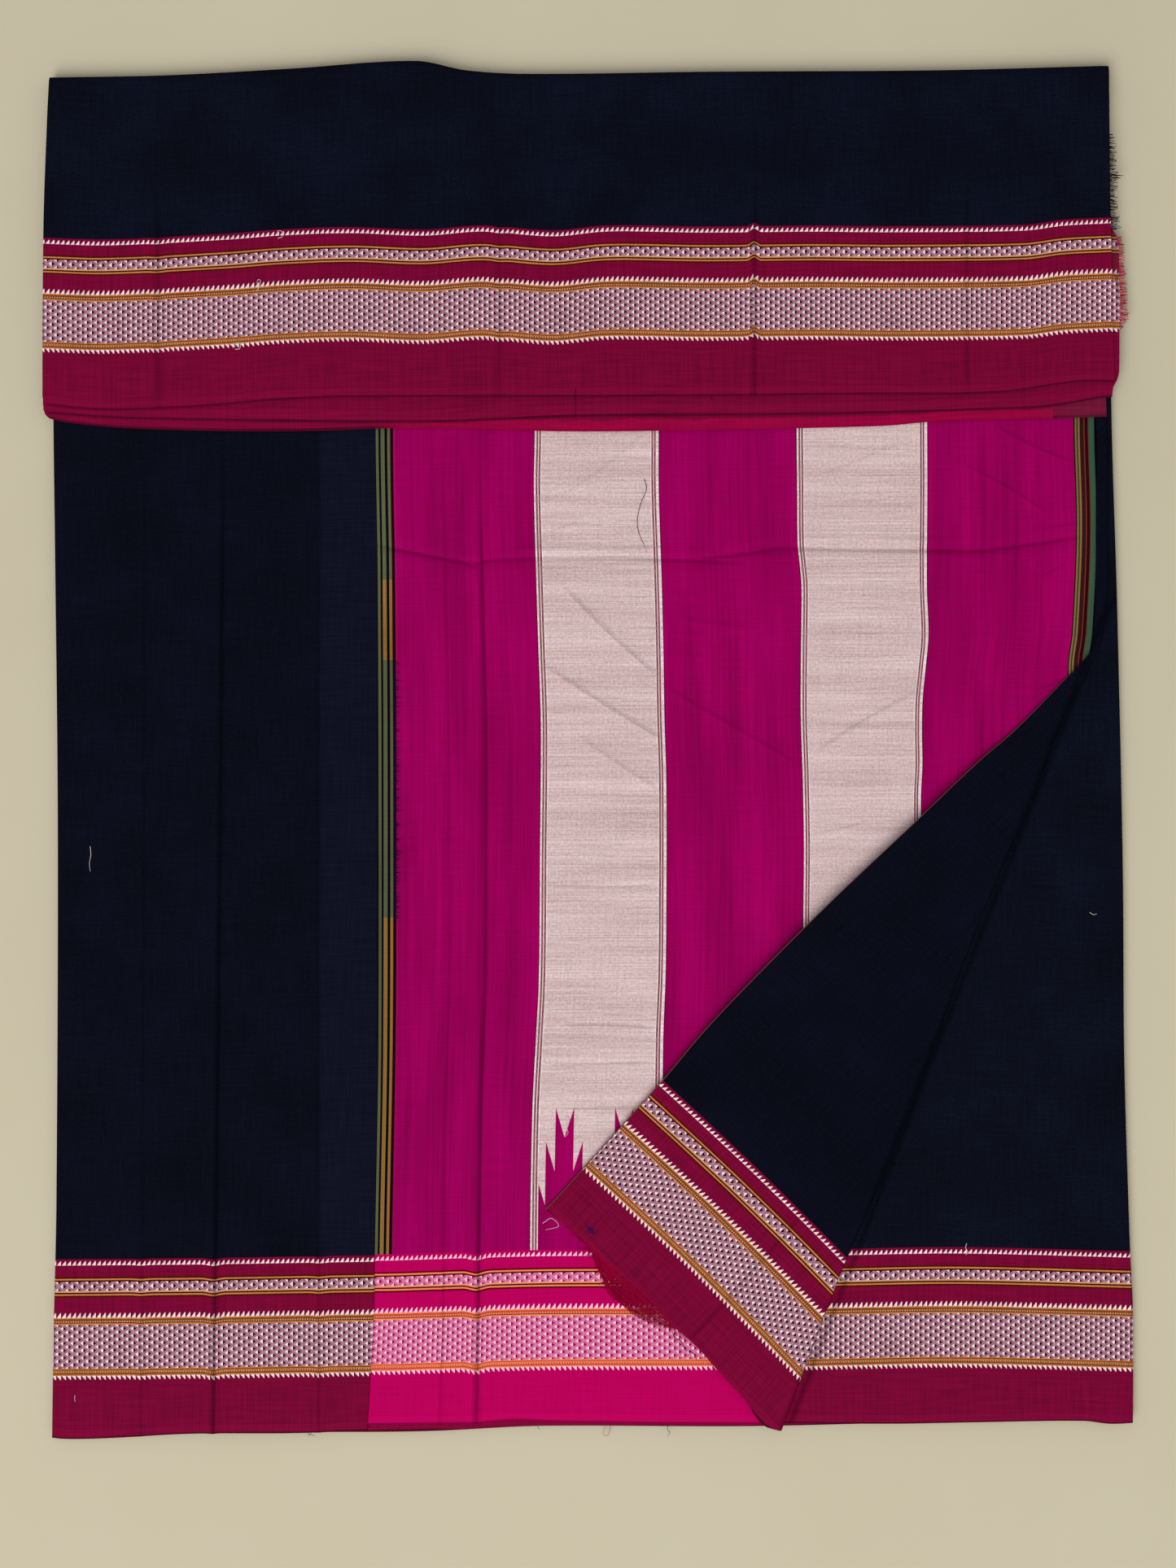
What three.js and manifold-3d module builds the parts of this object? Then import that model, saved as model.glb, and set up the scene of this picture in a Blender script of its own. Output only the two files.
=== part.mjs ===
// A saree, folded and laid flat: a pack of hidden plies, the front sheets that show on it, its upper part
// turned down over them, and the loose end, whose corner is turned back across the end panel.
// Millimetres, +Z up. X runs across the pack, Y from its lower hems up to its turned edge, and Z is the
// height over the surface that it lies on. The origin is the middle of the pack on that surface.

import * as THREE from "three";
import { mergeVertices } from "three/addons/utils/BufferGeometryUtils.js";
import Module from "manifold-3d";

// Cloth
const PLY = 1.1; // wall of one sheet
const CLEAR = 0.3; // clearance between sheets that touch
const STACK_TOP = 5.4; // height of the pressed hidden plies

// Places along the pack
const TUCKED_END = 454; // where the hidden plies and the front sheets end, inside the turned edge
const HEM_LINE = -470; // about where the lower hems lie
const BAND_FOOT = 215; // below this line nothing of the turned-down part lies on the front sheets
const TURN_TAIL = 7; // how far the turned ply runs back along the floor
const PALLU_RIGHT = 352; // right edge of the end panel's stripes, above the turned corner

// The edges of the pack, from the lower hems upwards
const LEFT_EDGE = [
  { y: -479, x: -373.5 },
  { y: -410, x: -372.5 },
  { y: -316, x: -370.5 },
  { y: -56, x: -369.5 },
  { y: 145, x: -371.5 },
  { y: 227, x: -372.5 },
  { y: 458, x: -373 },
];
const RIGHT_EDGE = [
  { y: -479, x: 378.5 },
  { y: -390, x: 378.5 },
  { y: -347, x: 376.5 },
  { y: -214, x: 372.5 },
  { y: -84, x: 371.5 },
  { y: 101, x: 367.5 },
  { y: 238, x: 363.5 },
  { y: 458, x: 361.5 },
];

// The lower edge of the hidden plies, and the hems of the sheets on them, from left to right
const STACK_HEM = [
  { x: -380, y: -476.5 },
  { x: -365, y: -478.5 },
  { x: -334, y: -478 },
  { x: -278, y: -476 },
  { x: -203, y: -475 },
  { x: -115, y: -474.5 },
  { x: -33, y: -471 },
  { x: 111, y: -471 },
  { x: 212, y: -469 },
  { x: 344, y: -466.5 },
  { x: 385, y: -467.5 },
];
const LEFT_HEM = [
  { x: -380, y: -477 },
  { x: -365, y: -479 },
  { x: -334, y: -478.5 },
  { x: -278, y: -475.5 },
  { x: -203, y: -475 },
  { x: -150, y: -473 },
];
const PALLU_HEM = [
  { x: -160, y: -469 },
  { x: -79, y: -468 },
  { x: -52, y: -466 },
  { x: -22, y: -467 },
  { x: 42, y: -468 },
  { x: 140, y: -468.5 },
];
const RIGHT_HEM = [
  { x: 120, y: -468 },
  { x: 212, y: -468.5 },
  { x: 269, y: -467.5 },
  { x: 344, y: -466.5 },
  { x: 362, y: -468.5 },
  { x: 385, y: -467.5 },
];

// Where the dark field gives way to the end panel, and the edge where the end panel meets the field on its
// right, which the turned corner hides
const PALLU_START = [
  { y: -479, x: -154.5 },
  { y: -391, x: -149.5 },
  { y: -350, x: -149 },
  { y: -200, x: -146.5 },
  { y: 118, x: -147 },
  { y: 221, x: -148.5 },
  { y: 458, x: -148.5 },
];
const PALLU_END = [
  { y: -479, x: 133 },
  { y: -430, x: 122 },
  { y: -355, x: 105 },
  { y: -214, x: 165 },
  { y: -45, x: 268 },
  { y: 5, x: 304 },
  { y: 44, x: 334 },
  { y: 68, x: 350 },
  { y: 85, x: PALLU_RIGHT },
  { y: 458, x: PALLU_RIGHT },
];

// The turned-down part: its top edge, its three hems and its side edges
const TOP_EDGE = [
  { x: -374, y: 467.5 },
  { x: -297, y: 469 },
  { x: -212, y: 473.5 },
  { x: -122, y: 479 },
  { x: -87, y: 472.5 },
  { x: -44, y: 470 },
  { x: 87, y: 471.5 },
  { x: 245, y: 472.5 },
  { x: 360, y: 475.5 },
];
const HEM_1 = [
  { x: -378, y: 239 },
  { x: -334, y: 235.5 },
  { x: -268, y: 238 },
  { x: -221, y: 242 },
  { x: -165, y: 244.5 },
  { x: 50, y: 245 },
  { x: 189, y: 246.5 },
  { x: 282, y: 247.5 },
  { x: 339, y: 255 },
  { x: 364, y: 255 },
];
const HEM_2 = [
  { x: -378, y: 233.5 },
  { x: -312, y: 229.5 },
  { x: -115, y: 227 },
  { x: -10, y: 231 },
  { x: 156, y: 232.5 },
  { x: 282, y: 236 },
  { x: 320, y: 238 },
  { x: 356, y: 244 },
  { x: 368, y: 245 },
];
const HEM_3 = [
  { x: -378, y: 231 },
  { x: -364, y: 227.5 },
  { x: -315, y: 223 },
  { x: -212, y: 221 },
  { x: -115, y: 223.5 },
  { x: -6, y: 221 },
  { x: 106, y: 222.5 },
  { x: 208, y: 225 },
  { x: 245, y: 228 },
  { x: 359, y: 231 },
];
const BAND_LEFT = [
  { y: 220, x: -378.8 },
  { y: 358, x: -378.2 },
  { y: 440, x: -375.5 },
  { y: 468, x: -374 },
];
const BAND_RIGHT = [
  { y: 220, x: 364 },
  { y: 255, x: 364 },
  { y: 292, x: 363.3 },
  { y: 369, x: 361.6 },
  { y: 475, x: 360.5 },
];
// The second ply's right edge stands out past the first, with a rounded lower corner
const BAND_2_RIGHT = [
  { y: 235, x: 362.5 },
  { y: 251, x: 363.5 },
  { y: 257, x: 366.6 },
  { y: 264, x: 367.8 },
  { y: 316, x: 367.4 },
  { y: 328, x: 364.5 },
  { y: 345, x: 361 },
  { y: 475, x: 358 },
];

// The third ply ends in a cut tab
const BAND_3_RIGHT = [
  { y: 220, x: 359.4 },
  { y: 284, x: 359.4 },
  { y: 291, x: 366 },
  { y: 299, x: 369 },
  { y: 330, x: 368 },
  { y: 356, x: 367 },
  { y: 362, x: 361 },
  { y: 475, x: 358 },
];

// Heights of the rows of points across each turned-down ply, between its hem and the turned edge
const HEM_WAVE = { height: 0.45, length: 290, from: 258, to: 300 }; // slow lift of the hems along the band
const BAND_1_LINES = [HEM_WAVE.from, HEM_WAVE.to, 335, 370, 405, 435];
const BAND_2_LINES = [251, HEM_WAVE.from, 264, HEM_WAVE.to, 316, 328, 345, 385, 425];
const BAND_3_LINES = [250, HEM_WAVE.from, 284, 291, HEM_WAVE.to, 330, 356, 362, 410];
const BAND_COLUMNS = 20;
const TURN_STEPS = 6; // facets round the turned edge

// Pressed creases of the front sheets: place at the band and at the hem, and how far the ridge stands up
const LEFT_CREASES = [
  { top: -309, foot: -311, height: 0.5 },
  { top: -254, foot: -261.5, height: 0.9 },
  { top: -187, foot: -187, height: 0.5 },
];
const PALLU_CREASES = [
  { top: -102, foot: -104, height: 0.4 },
  { top: -76, foot: -78.5, height: 0.9 },
];
const CREASE_HALF_WIDTH = 6;
const CREASE_FADE = 25; // length over which the creases flatten out below the turned-down part
const WRINKLE = { y: 132, halfWidth: 8, height: 0.6, from: 335, to: 300 }; // low, across the end panel
const EDGE_TURN = 1.4; // radius of the middle of a sheet that turns down at a folded edge
const EDGE_TAIL = 0.7; // straight end of such a sheet below its turn

// The loose end, from the pleat under the turned-down part to its own hem. Each row runs from the cut end to
// the fold: tuck is how far the ply returns under the fold, and lift how high the cut end stands
const FLAP_ROWS = [
  { endX: 352, endY: 230.2, foldX: 359.4, foldY: 230.2, tuck: 3, lift: 0 },
  { endX: 352.6, endY: 204, foldX: 359.7, foldY: 204, tuck: 3, lift: 0 },
  { endX: 352, endY: 148, foldX: 360, foldY: 148, tuck: 3, lift: 0 },
  { endX: 351.5, endY: 103, foldX: 359.7, foldY: 105, tuck: 3, lift: 0 },
  { endX: 349.2, endY: 76, foldX: 356.4, foldY: 83, tuck: 3, lift: 0 },
  { endX: 346.6, endY: 66, foldX: 353.7, foldY: 70.5, tuck: 3, lift: 0 },
  { endX: 326.6, endY: 44.4, foldX: 341.8, foldY: 47.2, tuck: 5, lift: 0.5 },
  { endX: 295.5, endY: 13.3, foldX: 330, foldY: 22.9, tuck: 12, lift: 1.5 },
  { endX: 268.3, endY: -10, foldX: 315, foldY: -15.6, tuck: 18, lift: 2.6 },
  { endX: 224.2, endY: -51.7, foldX: 301, foldY: -51.2, tuck: 26, lift: 4 },
  { endX: 159.8, endY: -112.8, foldX: 274, foldY: -112.2, tuck: 36, lift: 5.5 },
  { endX: 89.6, endY: -184.6, foldX: 246.8, foldY: -185.8, tuck: 46, lift: 5 },
  { endX: 52.3, endY: -228.2, foldX: 223, foldY: -250.8, tuck: 52, lift: 3.6 },
  { endX: 20.6, endY: -263.8, foldX: 197, foldY: -313, tuck: 56, lift: 2.2 },
  { endX: -4.8, endY: -292, foldX: 178.4, foldY: -354.8, tuck: 58, lift: 1.2 },
  { endX: -19, endY: -308, foldX: 156.4, foldY: -412, tuck: 58, lift: 0.6 },
  { endX: -29.7, endY: -319.2, foldX: 133.7, foldY: -473, tuck: 58, lift: 0.2 },
];
// How far the flap's hem swings out of the straight line between its corners
const FLAP_HEM = [
  { along: 0, out: 0 },
  { along: 0.1, out: -1.5 },
  { along: 0.26, out: 4 },
  { along: 0.41, out: 4 },
  { along: 0.57, out: -2 },
  { along: 0.72, out: 0 },
  { along: 0.87, out: 1.5 },
  { along: 1, out: 0 },
];
const FOLD_RADIUS = 0.75; // middle of the flap's ply where it turns under
const FOLD_STEPS = 5;
const SETTLE = { from: 5, to: 40 }; // past the returned ply the flap settles over this stretch

// The hidden plies: height of each section of their side, and how far it stands out of the pack's outline
const PLY_PITCH = STACK_TOP / 4;
const STACK_PLIES = [
  { base: 0, out: -0.2 },
  { base: PLY_PITCH, out: -0.6 },
  { base: 2 * PLY_PITCH, out: 0 },
  { base: 3 * PLY_PITCH, out: -1.8 },
];
const GROOVE = 0.9; // depth of the groove between two plies
const BULGE = [0.25, 0.75]; // the shares of a ply's height between which it stands out
const CORNER = 4; // radius of the pack's corners
const OUTLINE_STEPS = { hem: 18, side: 14, corner: 3 };

// Cut threads
const STRAND_WIDTH = 0.55;
const STRIP_WIDTH = 0.9;
const STRIP_THICK = 0.9;
const STRAND_LEAN = 0.3; // the most that a thread leans to a side, as a share of its length
const FIELD_FRINGE = { from: 427, to: 361, strands: 40, shortest: 1.2, longest: 5 };
const BORDER_FRINGE = { from: 355, to: 300, strands: 44, shortest: 2, longest: 4.5 };
const FLAP_FRINGE = { from: 0.17, to: 0.74, strands: 56, shortest: 3, longest: 9 };

const COLOURS = { field: 0x0e1020, border: 0x77082f, pallu: 0x96015a, flapThread: 0x9a0f3a };

const wasm = await Module();
wasm.setup();

// Underside of the nth sheet over the hidden plies
const level = (n) => STACK_TOP + CLEAR + n * (PLY + CLEAR);

// A smooth line through a table's rows: its value at one place along its key column
function follow(table, key, value, at) {
  const last = table.length - 1;
  let i = 0;
  while (i < last - 1 && at > table[i + 1][key]) i += 1;
  const slope = (j) => {
    const a = table[Math.max(j - 1, 0)];
    const b = table[Math.min(j + 1, last)];
    return (b[value] - a[value]) / (b[key] - a[key]);
  };
  const [a, b] = [table[i], table[i + 1]];
  const width = b[key] - a[key];
  const t = THREE.MathUtils.clamp((at - a[key]) / width, 0, 1);
  const [t2, t3] = [t * t, t * t * t];
  return (
    (2 * t3 - 3 * t2 + 1) * a[value] +
    (t3 - 2 * t2 + t) * width * slope(i) +
    (3 * t2 - 2 * t3) * b[value] +
    (t3 - t2) * width * slope(i + 1)
  );
}

const mix = THREE.MathUtils.lerp;
const smooth = THREE.MathUtils.smoothstep;

// A soft bump, 1 at its middle and 0 past its half width
const bump = (distance, halfWidth) => 1 - smooth(Math.abs(distance), 0, halfWidth);

// Even steps between two values, both included
const steps = (from, to, count) => Array.from({ length: count + 1 }, (_, i) => mix(from, to, i / count));

// A closed wall round a grid of points, which are the middle of the cloth. A row runs left to right as seen
// from the wall's front
function wall(rows, thickness = PLY) {
  const [m, n] = [rows.length, rows[0].length];
  const point = (i, j) => rows[Math.min(Math.max(i, 0), m - 1)][Math.min(Math.max(j, 0), n - 1)];
  const front = [];
  const back = [];
  for (let i = 0; i < m; i += 1) {
    for (let j = 0; j < n; j += 1) {
      const across = point(i, j + 1).clone().sub(point(i, j - 1));
      const along = point(i + 1, j).clone().sub(point(i - 1, j));
      const half = across.cross(along).normalize().multiplyScalar(thickness / 2);
      front.push(point(i, j).clone().add(half));
      back.push(point(i, j).clone().sub(half));
    }
  }
  const places = [...front, ...back].flatMap((p) => [p.x, p.y, p.z]);
  const index = [];
  const quad = (a, b, c, d) => index.push(a, b, c, a, c, d);
  const at = (i, j) => i * n + j;
  const under = m * n;
  for (let i = 0; i + 1 < m; i += 1) {
    for (let j = 0; j + 1 < n; j += 1) {
      quad(at(i, j), at(i, j + 1), at(i + 1, j + 1), at(i + 1, j));
      quad(under + at(i, j), under + at(i + 1, j), under + at(i + 1, j + 1), under + at(i, j + 1));
    }
  }
  const rim = [];
  for (let j = 0; j + 1 < n; j += 1) rim.push([at(0, j), at(0, j + 1)]);
  for (let i = 0; i + 1 < m; i += 1) rim.push([at(i, n - 1), at(i + 1, n - 1)]);
  for (let j = n - 1; j > 0; j -= 1) rim.push([at(m - 1, j), at(m - 1, j - 1)]);
  for (let i = m - 1; i > 0; i -= 1) rim.push([at(i, 0), at(i - 1, 0)]);
  for (const [a, b] of rim) quad(b, a, under + a, under + b);
  const geometry = new THREE.BufferGeometry();
  geometry.setAttribute("position", new THREE.Float32BufferAttribute(places, 3));
  geometry.setIndex(index);
  geometry.computeVertexNormals();
  return geometry;
}

const mesh = (name, geometry, colour) => {
  const made = new THREE.Mesh(
    geometry,
    new THREE.MeshStandardMaterial({ color: colour, roughness: 0.75, metalness: 0 }),
  );
  made.name = name;
  return made;
};

// Front sheets

// How far a front sheet is raised by its creases, none under the turned-down part
const downPack = (y) => (BAND_FOOT - y) / (BAND_FOOT - HEM_LINE);
const creaseAt = (crease, y) => mix(crease.top, crease.foot, downPack(y));

function ridge(creases, x, y) {
  const fade = 1 - smooth(y, BAND_FOOT - CREASE_FADE, BAND_FOOT);
  const raised = creases.map((c) => c.height * bump(x - creaseAt(c, y), CREASE_HALF_WIDTH));
  return fade * Math.max(0, ...raised);
}

const wrinkle = (x, y) =>
  WRINKLE.height * bump(y - WRINKLE.y, WRINKLE.halfWidth) * (1 - smooth(x, WRINKLE.to, WRINKLE.from));

// The lines up a front sheet that its columns follow: its left edge, each crease with its feet, its right edge
function guidesOf(left, creases, right) {
  const sides = [-CREASE_HALF_WIDTH, 0, CREASE_HALF_WIDTH];
  const lines = creases.flatMap((crease) => sides.map((side) => (y) => creaseAt(crease, y) + side));
  return [left, ...lines, right];
}

// A front sheet over the hidden plies. parts says how many columns fill the space after each guide, and
// turned tells which of its sides, -1 or 1, turn down at the pack's edge
function frontSheet({ guides, parts, hem, lines, height, turned = [] }) {
  const middle = level(0) + PLY / 2;
  const lineX = guides.flatMap((guide, g) => {
    if (g === guides.length - 1) return [guide];
    return steps(0, 1, parts[g])
      .slice(0, -1)
      .map((share) => (y) => mix(guide(y), guides[g + 1](y), share));
  });
  const rows = lines.map((line) => {
    const share = (line - HEM_LINE) / (TUCKED_END - HEM_LINE);
    const row = lineX.map((xAt) => {
      const y = mix(follow(hem, "x", "y", xAt(line)), TUCKED_END, share);
      const x = xAt(y);
      return new THREE.Vector3(x, y, middle + height(x, y));
    });
    for (const side of turned) {
      const edge = side < 0 ? row[0] : row[row.length - 1];
      const turn = [60, 30, 0].map((degrees) => {
        const angle = THREE.MathUtils.degToRad(degrees);
        const out = side * EDGE_TURN * Math.cos(angle);
        return new THREE.Vector3(edge.x + out, edge.y, middle - EDGE_TURN * (1 - Math.sin(angle)));
      });
      turn.push(new THREE.Vector3(edge.x + side * EDGE_TURN, edge.y, middle - EDGE_TURN - EDGE_TAIL));
      if (side < 0) row.unshift(...turn.reverse());
      else row.push(...turn);
    }
    return row;
  });
  return wall(rows);
}

// Heights of the rows of points up the front sheets, closer together where the flap's pleat opens
const openSheet = steps(HEM_LINE, 14, 11);
const FRONT_LINES = [...openSheet, 50, 75, 100, 150, BAND_FOOT - CREASE_FADE, BAND_FOOT, 290, 370, TUCKED_END];
const wrinkleLines = [-1, 0, 1].map((side) => WRINKLE.y + side * WRINKLE.halfWidth);

const insetEdge = (table, side) => (y) => follow(table, "y", "x", y) - side * (PLY / 2 + EDGE_TURN);
const startLine = (y) => follow(PALLU_START, "y", "x", y);
const endLine = (y) => follow(PALLU_END, "y", "x", y);

const bodyLeft = frontSheet({
  guides: guidesOf(insetEdge(LEFT_EDGE, -1), LEFT_CREASES, startLine),
  parts: [2, 1, 1, 1, 1, 1, 2, 1, 1, 1],
  hem: LEFT_HEM,
  lines: FRONT_LINES,
  height: (x, y) => ridge(LEFT_CREASES, x, y),
  turned: [-1],
});
const palluSheet = frontSheet({
  guides: guidesOf((y) => startLine(y) + CLEAR, PALLU_CREASES, endLine),
  parts: [1, 1, 1, 1, 1, 1, 12],
  hem: PALLU_HEM,
  lines: [...FRONT_LINES, ...wrinkleLines].sort((a, b) => a - b),
  height: (x, y) => Math.max(ridge(PALLU_CREASES, x, y), wrinkle(x, y)),
});
const bodyRight = frontSheet({
  guides: [(y) => endLine(y) + CLEAR, insetEdge(RIGHT_EDGE, 1)],
  parts: [6],
  hem: RIGHT_HEM,
  lines: FRONT_LINES,
  height: () => 0,
  turned: [1],
});

// Hidden plies

// The pack's outline, anticlockwise, with round corners
function packOutline() {
  const left = (y) => follow(LEFT_EDGE, "y", "x", y);
  const right = (y) => follow(RIGHT_EDGE, "y", "x", y);
  const hem = (x) => follow(STACK_HEM, "x", "y", x);
  const [low, high] = [HEM_LINE + CORNER, TUCKED_END - CORNER];
  const corner = (x, y, from) =>
    steps(from, from + 90, OUTLINE_STEPS.corner).map((degrees) => {
      const angle = THREE.MathUtils.degToRad(degrees);
      return new THREE.Vector2(x + CORNER * Math.cos(angle), y + CORNER * Math.sin(angle));
    });
  const inner = (points) => points.slice(1, -1);
  const footLeft = left(low) + CORNER;
  const footRight = right(low) - CORNER;
  return [
    ...corner(footLeft, hem(footLeft) + CORNER, 180),
    ...inner(steps(footLeft, footRight, OUTLINE_STEPS.hem)).map((x) => new THREE.Vector2(x, hem(x))),
    ...corner(footRight, hem(footRight) + CORNER, 270),
    ...inner(steps(low, high, OUTLINE_STEPS.side)).map((y) => new THREE.Vector2(right(y), y)),
    ...corner(right(high) - CORNER, high, 0),
    ...corner(left(high) + CORNER, high, 90),
    ...inner(steps(high, low, OUTLINE_STEPS.side)).map((y) => new THREE.Vector2(left(y), y)),
  ];
}

function stackOf(outline) {
  const count = outline.length;
  const normals = outline.map((_, i) => {
    const along = outline[(i + 1) % count].clone().sub(outline[(i - 1 + count) % count]);
    return new THREE.Vector2(along.y, -along.x).normalize();
  });
  const sections = STACK_PLIES.flatMap((ply) => [
    { z: ply.base, out: ply.out - GROOVE },
    ...BULGE.map((share) => ({ z: ply.base + share * PLY_PITCH, out: ply.out })),
  ]);
  sections.push({ z: STACK_TOP, out: STACK_PLIES[STACK_PLIES.length - 1].out - GROOVE });
  const rings = sections.map(({ z, out }) =>
    outline.map((p, i) => new THREE.Vector3(p.x + out * normals[i].x, p.y + out * normals[i].y, z)),
  );
  const index = [];
  for (let k = 0; k + 1 < rings.length; k += 1) {
    for (let i = 0; i < count; i += 1) {
      const next = (i + 1) % count;
      const [a, b, c, d] = [k * count + i, k * count + next, (k + 1) * count + next, (k + 1) * count + i];
      index.push(a, b, c, a, c, d);
    }
  }
  const caps = THREE.ShapeUtils.triangulateShape(outline, []);
  const top = (rings.length - 1) * count;
  for (const [a, b, c] of caps) index.push(a, c, b, top + a, top + b, top + c);
  const geometry = new THREE.BufferGeometry();
  const places = rings.flat().flatMap((p) => [p.x, p.y, p.z]);
  geometry.setAttribute("position", new THREE.Float32BufferAttribute(places, 3));
  geometry.setIndex(index);
  geometry.computeVertexNormals();
  return geometry;
}

// The part turned down over the front

const TURN_RADIUS = (level(3) + PLY) / 2;
const topEdge = (x) => follow(TOP_EDGE, "x", "y", x);

// How far the turned-down plies are raised by the lift of their hems
function hemLift(x, y) {
  const wave = HEM_WAVE.height * (1 + Math.sin((2 * Math.PI * x) / HEM_WAVE.length));
  return wave * (1 - THREE.MathUtils.clamp((y - HEM_WAVE.from) / (HEM_WAVE.to - HEM_WAVE.from), 0, 1));
}

function bandPly({ n, hem, right, lines, turns }) {
  const middle = level(n) + PLY / 2;
  const shares = steps(0, 1, BAND_COLUMNS);
  const flat = (lineY) =>
    shares.map((share) => {
      const reference = mix(BAND_LEFT[0].x, BAND_RIGHT[0].x, share);
      const y = lineY(reference);
      const x = mix(follow(BAND_LEFT, "y", "x", y), follow(right, "y", "x", y), share);
      return new THREE.Vector3(x, y, middle + hemLift(x, y));
    });
  const turnAt = (x) => topEdge(x) - TURN_RADIUS;
  const rows = [flat((x) => follow(hem, "x", "y", x)), ...lines.map((y) => flat(() => y)), flat(turnAt)];
  if (turns) {
    const radius = TURN_RADIUS - PLY / 2;
    const start = rows[rows.length - 1];
    for (const angle of steps(0, Math.PI, TURN_STEPS).slice(1)) {
      const [y, z] = [radius * Math.sin(angle), TURN_RADIUS + radius * Math.cos(angle)];
      rows.push(start.map((p) => new THREE.Vector3(p.x, p.y + y, z)));
    }
    rows.push(start.map((p) => new THREE.Vector3(p.x, p.y - TURN_TAIL, PLY / 2)));
  }
  return wall(rows);
}

// The loose end

const FLAP_SHARES = [0, 0.06, 0.16, 0.3, 0.45, 0.6, 0.75, 0.88, 1];
const hemCorner = FLAP_ROWS[FLAP_ROWS.length - 1];
const hemLength = Math.hypot(hemCorner.foldX - hemCorner.endX, hemCorner.foldY - hemCorner.endY);
const hemOut = new THREE.Vector3(
  (hemCorner.foldY - hemCorner.endY) / hemLength,
  -(hemCorner.foldX - hemCorner.endX) / hemLength,
  0,
);

function flapRow(row, index) {
  const end = new THREE.Vector3(row.endX, row.endY, 0);
  const fold = new THREE.Vector3(row.foldX, row.foldY, 0);
  const across = fold.clone().sub(end).normalize();
  const centre = fold.clone().addScaledVector(across, -(PLY / 2 + FOLD_RADIUS));
  const width = centre.distanceTo(end);
  const lowest = level(1) + PLY / 2;
  const isHem = index === FLAP_ROWS.length - 1;
  const points = FLAP_SHARES.map((share) => {
    const past = (1 - share) * width - row.tuck;
    const over = 1 - smooth(past, SETTLE.from, SETTLE.to);
    const z = lowest + 2 * FOLD_RADIUS * over + row.lift * (1 - share) ** 1.2 * (1 - over);
    const p = end.clone().lerp(centre, share).setZ(z);
    return isHem ? p.addScaledVector(hemOut, follow(FLAP_HEM, "along", "out", share)) : p;
  });
  points[points.length - 1].z = lowest + 2 * FOLD_RADIUS;
  for (const angle of steps(0, Math.PI, FOLD_STEPS).slice(1)) {
    const p = centre.clone().addScaledVector(across, FOLD_RADIUS * Math.sin(angle));
    points.push(p.setZ(lowest + FOLD_RADIUS * (1 + Math.cos(angle))));
  }
  for (const share of [0.5, 1]) {
    points.push(centre.clone().addScaledVector(across, -share * row.tuck).setZ(lowest));
  }
  return points;
}

// Cut threads

// The geometry as a solid that can be joined to others
function solid(geometry) {
  const bare = geometry.clone();
  bare.deleteAttribute("normal");
  const merged = mergeVertices(bare, 1e-4);
  const vertProperties = merged.attributes.position.array;
  return new wasm.Manifold(new wasm.Mesh({ numProp: 3, vertProperties, triVerts: merged.index.array }));
}

function geometryOf(joined) {
  const { vertProperties, triVerts } = joined.getMesh();
  const geometry = new THREE.BufferGeometry();
  geometry.setAttribute("position", new THREE.BufferAttribute(vertProperties, 3));
  geometry.setIndex(new THREE.BufferAttribute(triVerts, 1));
  geometry.computeVertexNormals();
  return geometry;
}

// One three-sided thread from its root to its tip
function strand(root, tip) {
  const direction = tip.clone().sub(root).normalize();
  const side = new THREE.Vector3(-direction.y, direction.x, 0).normalize();
  const up = direction.clone().cross(side).normalize();
  const ring = (centre, radius) =>
    [90, 210, 330].map((degrees) => {
      const angle = THREE.MathUtils.degToRad(degrees);
      const p = centre.clone().addScaledVector(side, radius * Math.cos(angle));
      return p.addScaledVector(up, radius * Math.sin(angle));
    });
  const points = [...ring(root, STRAND_WIDTH / 2), ...ring(tip, STRAND_WIDTH / 4)];
  const geometry = new THREE.BufferGeometry();
  const places = points.flatMap((p) => [p.x, p.y, p.z]);
  geometry.setAttribute("position", new THREE.Float32BufferAttribute(places, 3));
  geometry.setIndex([0, 2, 1, 3, 4, 5, 0, 1, 4, 0, 4, 3, 1, 2, 5, 1, 5, 4, 2, 0, 3, 2, 3, 5]);
  return geometry;
}

// A pattern of lengths and leanings that looks uneven and never changes
const uneven = (i, seed) => {
  const value = Math.sin(i * 12.9898 + seed * 78.233) * 43758.5453;
  return value - Math.floor(value);
};

// A narrow strip along an edge's points with threads standing out of it
function fringe(edge, out, { strands, shortest, longest }, seed) {
  const strip = [STRIP_WIDTH, 0].map((width) =>
    edge.map((p) => p.clone().addScaledVector(out, CLEAR + width)),
  );
  const facingUp = edge[1].clone().sub(edge[0]).cross(out).z < 0;
  const backing = wall(facingUp ? strip : strip.reverse(), STRIP_THICK);
  const path = new THREE.CurvePath();
  for (let i = 0; i + 1 < edge.length; i += 1) path.add(new THREE.LineCurve3(edge[i], edge[i + 1]));
  let joined = solid(backing);
  for (let k = 0; k < strands; k += 1) {
    const share = (k + 0.5 + STRAND_LEAN * (uneven(k, seed) - 0.5)) / strands;
    const root = path.getPointAt(share).addScaledVector(out, CLEAR + STRIP_WIDTH / 2);
    const length = mix(shortest, longest, uneven(k, seed + 1)) + STRIP_WIDTH / 2;
    const lean = new THREE.Vector3(-out.y, out.x, 0).multiplyScalar(STRAND_LEAN * (uneven(k, seed + 2) - 0.5));
    const tip = root.clone().addScaledVector(out.clone().add(lean), length);
    joined = joined.add(solid(strand(root, tip)));
  }
  return geometryOf(joined);
}

const edgeLine = (table, { from, to }, z) =>
  steps(from, to, 4).map((y) => new THREE.Vector3(follow(table, "y", "x", y), y, z));
const eastward = new THREE.Vector3(1, 0, 0);

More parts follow.
